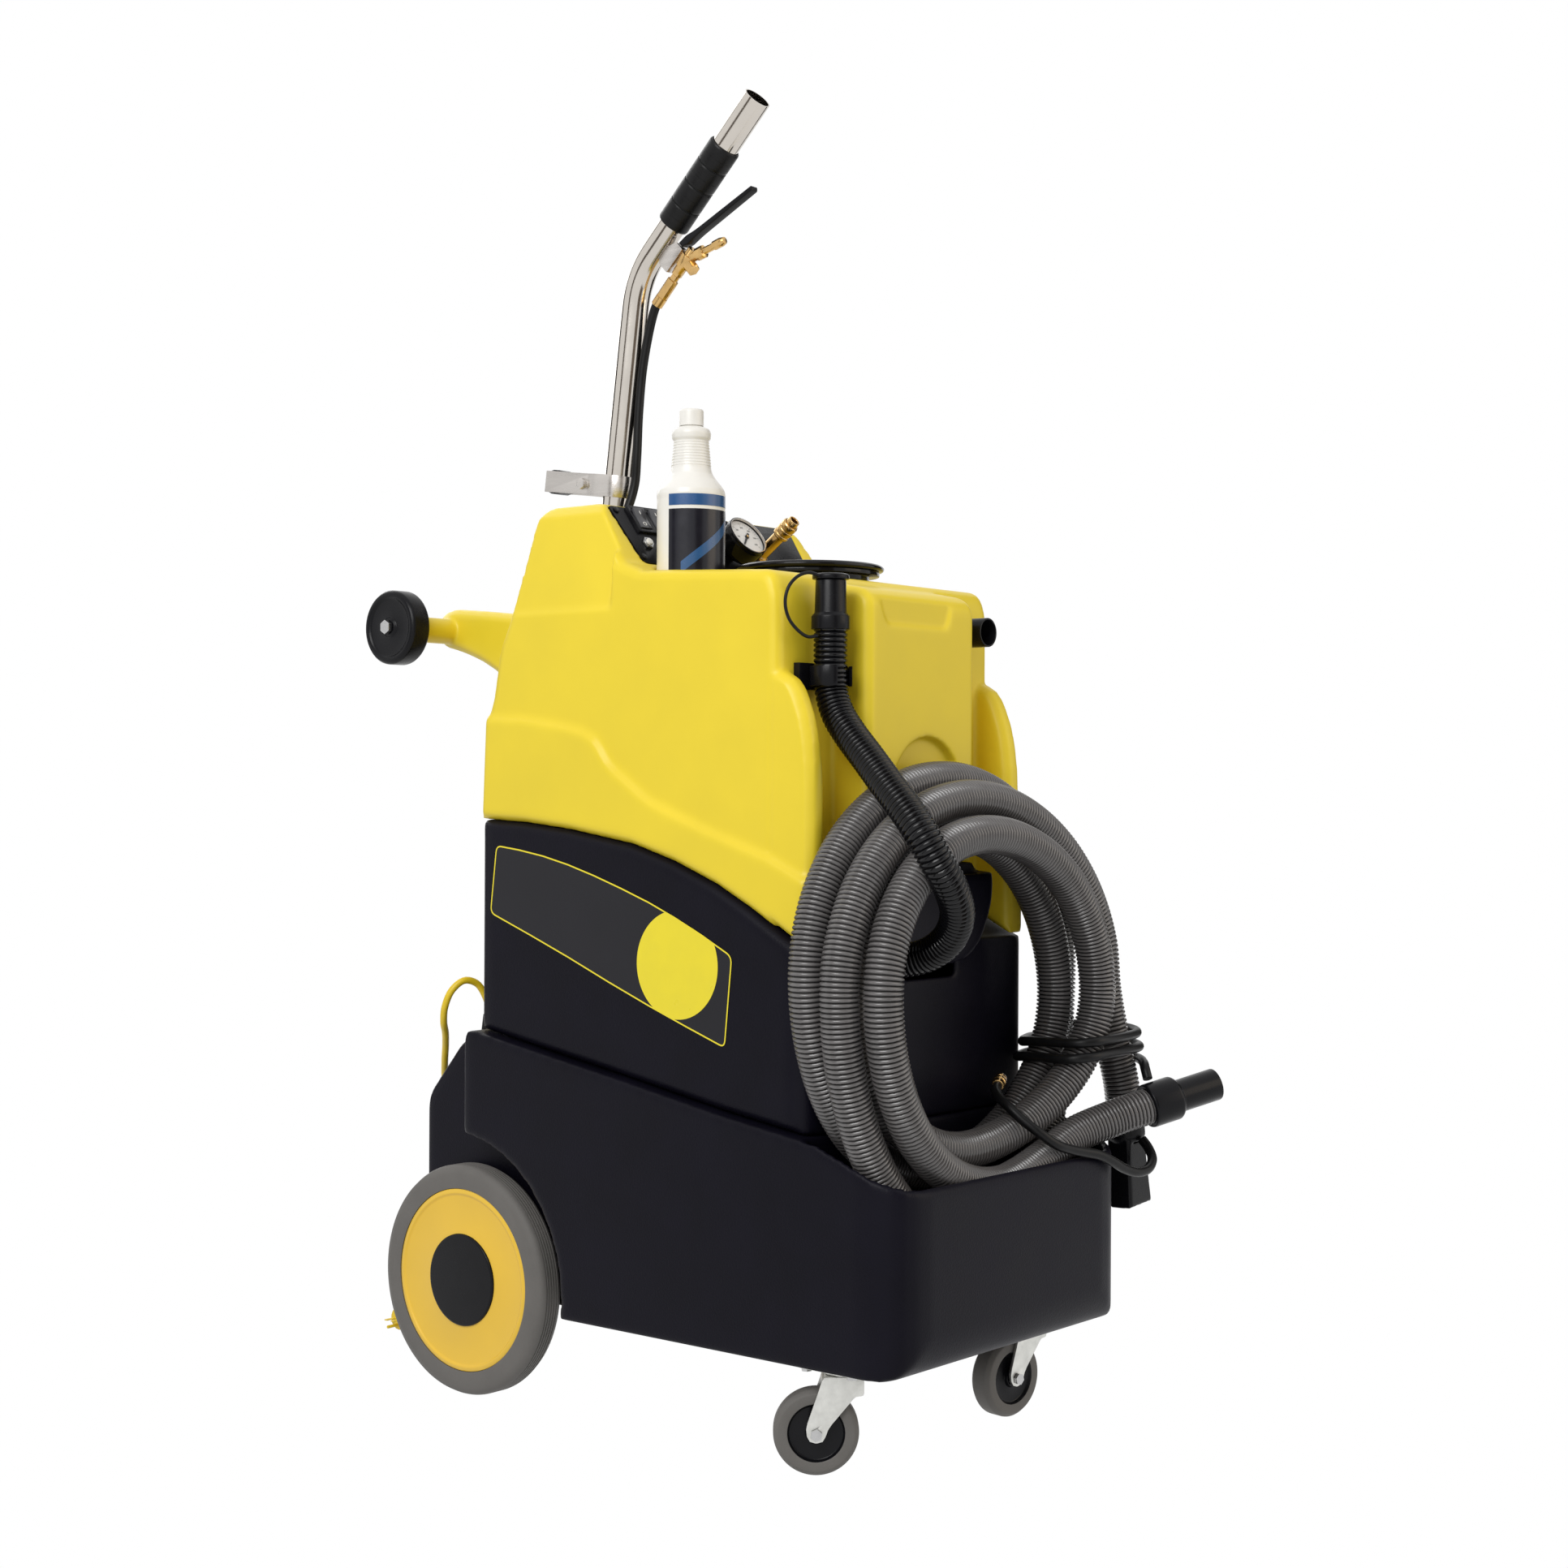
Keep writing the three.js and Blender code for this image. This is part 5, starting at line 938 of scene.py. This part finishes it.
# ---------------------------------------------------------------- hose fittings
def make_fittings():
    end = at(*HOSE_END[5])
    way = (end - at(*HOSE_END[4])).normalized()
    turned("wand_cuff", "machine", end + way * 0.3 * MM, way, BLACK_SATIN, 1.6, 96)
    top = at(-157, -315, 1000.3)
    turned("drain_cuff", "machine", top, UP, BLACK_SATIN, 1.2, 96)
    turned("drain_cap", "drain_cap", top + Vector((0, 0, 60.3 * MM)), UP, BLACK_SATIN, 1, 96)
    crisp("drain_clip", "machine", BLACK_SATIN, 0.8)
    way = Vector((0.5, -0.85, 0.02)).normalized()
    turned("drain_outlet", "machine", at(*DRAIN_MOUTH), way, BLACK_SATIN, 0.8, 72)
    stop = at(*LEAD_TAIL[3]) - Vector((0, 0, 0.3 * MM))
    turned("lead_plug", "machine", stop, (0, 0, -1), BRASS, 0.4, 48)
    way = (at(*LEAD_TWO[-1]) - at(*LEAD_TWO[-2])).normalized()
    turned("lead_coupling", "machine", at(*LEAD_TWO[-1]) + way * 0.3 * MM, way, BRASS, 0.4, 48)
    turned("strain_relief", "machine", at(-160, 275, 470.3), UP, BLACK_SATIN, 0.6, 48)
    crisp("power_plug", "machine", CORD_YELLOW, 0.8)


make_fittings()


def make_tether():
    """The strap between the drain hose's cap and its cuff."""
    loop = [(-178, -314, 1064), (-190, -308, 1067), (-204, -302, 1062), (-215, -297, 1049), (-219, -295, 1031),
            (-215, -297, 1012), (-204, -303, 997), (-191, -308, 990), (-180, -313, 992)]
    strap, _, _ = sweep("drain_tether", [at(*p) for p in loop], [0.0021], BLACK_RUBBER, None,
                        (), 0.003, 12)
    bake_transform(strap, "machine", "drain_cap", at(-200, -305, 1006), at(-190, -308, 1060))


make_tether()


# ---------------------------------------------------------------- wand
WAND_R = 19
WAND_MARK = Vector((0, 190, 1230))      # a point on the straight tube's axis
WAND_BEND = Vector((0, 152, 1517))
WAND_TOP = Vector((0, -62, 1724))
WAND_LOW = 500
WAND_LEAN = (WAND_BEND - WAND_MARK).normalized()
GRIP_WAY = (WAND_TOP - WAND_BEND).normalized()
GRIP_BELOW = Vector((0, -GRIP_WAY.z, GRIP_WAY.y))
GRIP_LOW, GRIP_HIGH = 1578, 1670


def on_wand(z):
    return WAND_MARK + WAND_LEAN * ((z - WAND_MARK.z) / WAND_LEAN.z)


def on_grip(z):
    return WAND_BEND + GRIP_WAY * ((z - WAND_BEND.z) / GRIP_WAY.z)


def make_wand():
    near = 42
    before, after = WAND_BEND - WAND_LEAN * near, WAND_BEND + GRIP_WAY * near
    bend = [before.lerp(WAND_BEND, t).lerp(WAND_BEND.lerp(after, t), t) for t in (k / 8 for k in range(9))]
    low = on_wand(WAND_LOW)
    straight = [low.lerp(before, k / 8) for k in range(8)]
    rise = [after.lerp(WAND_TOP, k / 4) for k in range(1, 5)]
    route = [at(*p) for p in [*straight, *bend, *rise]]
    sweep("wand_tube_bright", route, [WAND_R * MM], CHROME, "wand", ["wand_tube"], 0.006, 48,
          (WAND_R - 1.6) * MM)
    turned("wand_grip", "wand", at(*on_grip(GRIP_LOW)), GRIP_WAY, BLACK_RUBBER, 1.4, 72)
    make_grip_rings()
    crisp("valve_bracket", "wand", BRUSHED, 0.8)
    crisp("valve_body", "wand", BRASS, 0.5)
    crisp("valve_lever", "lever", BLACK_SATIN, 1.0)
    crisp("assist_handle", "wand", BRUSHED, 0.5)
    crisp("assist_grip", "wand", BLACK_SATIN, 2.0)
    crisp("wand_head", "wand", BRUSHED, 1.0)


def make_grip_rings():
    """Fine bands between the finger grooves of the grip."""
    low = on_grip(GRIP_LOW)
    length = (on_grip(GRIP_HIGH) - low).length
    r = WAND_R + 2.2
    ring = [(r, 0), (r + 1.3, 0.3), (r + 1.3, 0.7), (r, 1)]
    for k in range(1, 8):
        foot = at(*(low + GRIP_WAY * (length * k / 8 - 1)))
        lathed(f"grip_band_{k}", ring, True, 0, foot, GRIP_WAY, BLACK_RUBBER, "wand", sides=72)


make_wand()

HOSE_STOPS = [
    (1400, 0, 26.5), (1330, 0, 26.5), (1265, 0, 31.5), (1228, 0, 32.5), (1190, -8, 29.5), (1150, -19, 18.5),
    (1110, -26, 10), (1070, -28, 2), (1000, -29, 0), (900, -29, 0), (800, -29, 0), (700, -29, 0), (620, -30, 0),
    (541, -30, 0),
]
TIE_HEIGHTS = (900, 640)
TIE_STEPS = 24          # corners on each half turn of a tie


def make_wand_hose():
    """The solution hose from the valve down the wand, with the ties that hold it."""
    tail = Vector((0, 0.707, -0.707)).normalized()
    start = on_grip(1565) + GRIP_BELOW * 55 + tail * 62.3
    stops = [on_wand(z) + Vector((x, -y, 0)) for z, x, y in HOSE_STOPS]
    route = [at(*p) for p in [start, start + tail * 16, *stops]]
    sweep("wand_hose_tube", route, [LEAD_RADIUS], BLACK_RUBBER, "wand", ["wand_hose"], 0.004, 20)
    crimp = [(6.5, 0), (8.2, 0.5), (8.2, 14), (6.5, 15)]
    lathed("hose_crimp", crimp, True, 0, at(*(start - tail)), tail, BRASS, "wand", sides=48)
    for k, z in enumerate(TIE_HEIGHTS):
        middle = on_wand(z)
        tie_loop(f"hose_tie_{k}", middle, middle + Vector((-29, 0, 0)))


def tie_loop(name, a, b):
    """A strap round two tubes whose middles are a and b."""
    way = (b - a).normalized()
    side = way.cross(WAND_LEAN).normalized()
    loop = []
    for end, start, reach in ((a, math.pi / 2, WAND_R + 1.2), (b, -math.pi / 2, LEAD_RADIUS / MM + 1.2)):
        for k in range(TIE_STEPS + 1):
            angle = start + math.pi * k / TIE_STEPS
            loop.append(end + (way * math.cos(angle) + side * math.sin(angle)) * reach)
    points, faces, count = [], [], len(loop)
    middle = (a + b) / 2
    for p in loop:
        outward = (p - middle).normalized()
        for rise, depth in ((-2.5, -0.6), (2.5, -0.6), (2.5, 0.6), (-2.5, 0.6)):
            points.append(at(*(p + WAND_LEAN * rise + outward * depth)))
    for i in range(count):
        j = (i + 1) % count
        faces += band(4 * i, 4 * j, 4, inward=True)
    new_piece(name, points, faces, BLACK_SATIN, "wand")


make_wand_hose()


# ---------------------------------------------------------------- inside
def make_inside():
    for side, x in (("left", -88), ("right", 88)):
        turned(f"vacuum_motor_{side}", "machine", at(x, -190, 138.3), UP, BLACK_SATIN, 1.5, 72)
    crisp("pump", "machine", BRASS, 1.5)
    turned("shut_off_float", "machine", at(60, 60, 768), UP, WHITE_PLASTIC, 1.5, 64)


make_inside()


# ---------------------------------------------------------------- light
def seen_as_white(tree, lit):
    """Turns what is lit white, for the camera and for what metal and glass show. Gives the mix's socket."""
    link = tree.links.new
    white = add_node(tree, "Background", {"Color": (1, 1, 1, 1), "Strength": 1.0})
    path = add_node(tree, "LightPath")
    seen = path.outputs["Is Camera Ray"]
    for ray in ("Is Glossy Ray", "Is Transmission Ray"):
        either = add_node(tree, "Math")
        either.operation = "MAXIMUM"
        link(seen, either.inputs[0])
        link(path.outputs[ray], either.inputs[1])
        seen = either.outputs[0]
    mix = add_node(tree, "MixShader")
    link(seen, mix.inputs["Fac"])
    link(lit, mix.inputs[1])
    link(white.outputs[0], mix.inputs[2])
    return mix.outputs["Shader"]


# Dark cards that only metal and gloss pick up: degrees round from the camera, width in metres, shade.
FLAGS = [("flag_left", -128, 1.6, (0.03, 0.026, 0.022)), ("flag_near_left", -58, 0.7, (0.12, 0.095, 0.075)),
         ("flag_near", 26, 1.5, (0.2, 0.16, 0.125)), ("flag_right", 128, 1.9, (0.03, 0.026, 0.022))]
FLAG_RADIUS, FLAG_HEIGHT, FLAG_HALF = 3.6, 1.9, 2


def make_flag(name, place, width, shade):
    """A dark card that faces the upright line over the origin."""
    mesh = bpy.data.meshes.new(name)
    w, h = width / 2, FLAG_HALF
    mesh.from_pydata([(-w, 0, -h), (w, 0, -h), (w, 0, h), (-w, 0, h)], [], [(0, 1, 2, 3)])
    mesh.materials.append(surface(name, shade, 0.8, vary=0.1, grain=3, bump=0.0))
    card = new_object(name, mesh)
    card.location = place
    away = Vector((0, 0, place[2])) - Vector(place)
    card.rotation_euler = away.to_track_quat("Y", "Z").to_euler()
    card.visible_camera = card.visible_diffuse = card.visible_shadow = False


def area_light(name, place, target, size, power, colour=(1, 1, 1)):
    data = bpy.data.lights.new(name, "AREA")
    data.size = size
    data.energy = power
    data.color = colour
    light = new_object(name, data)
    light.location = place
    light.rotation_euler = (Vector(target) - Vector(place)).to_track_quat("-Z", "Y").to_euler()


def make_light():
    world = bpy.data.worlds.new("studio")
    bpy.context.scene.world = world
    world.use_nodes = True
    tree = world.node_tree
    sky = tree.nodes["Background"]
    sky.inputs["Color"].default_value = (1, 1, 1, 1)
    sky.inputs["Strength"].default_value = 0.5
    tree.links.new(seen_as_white(tree, sky.outputs["Background"]), tree.nodes["World Output"].inputs["Surface"])
    middle = (0, 0, 0.8)
    area_light("key", (-3.2, -0.9, 2.9), middle, 2.0, 88)
    area_light("fill", (1.6, -3.5, 2.0), middle, 2.2, 24, (1, 0.83, 0.62))
    area_light("back", (0.8, 3.2, 2.8), middle, 2.4, 30)
    facing = math.atan2(EYE.y, EYE.x)
    for name, degrees, width, shade in FLAGS:
        a = facing + math.radians(degrees)
        make_flag(name, (FLAG_RADIUS * math.cos(a), FLAG_RADIUS * math.sin(a), FLAG_HEIGHT), width, shade)


make_light()
bpy.context.scene.view_settings.view_transform = "Standard"
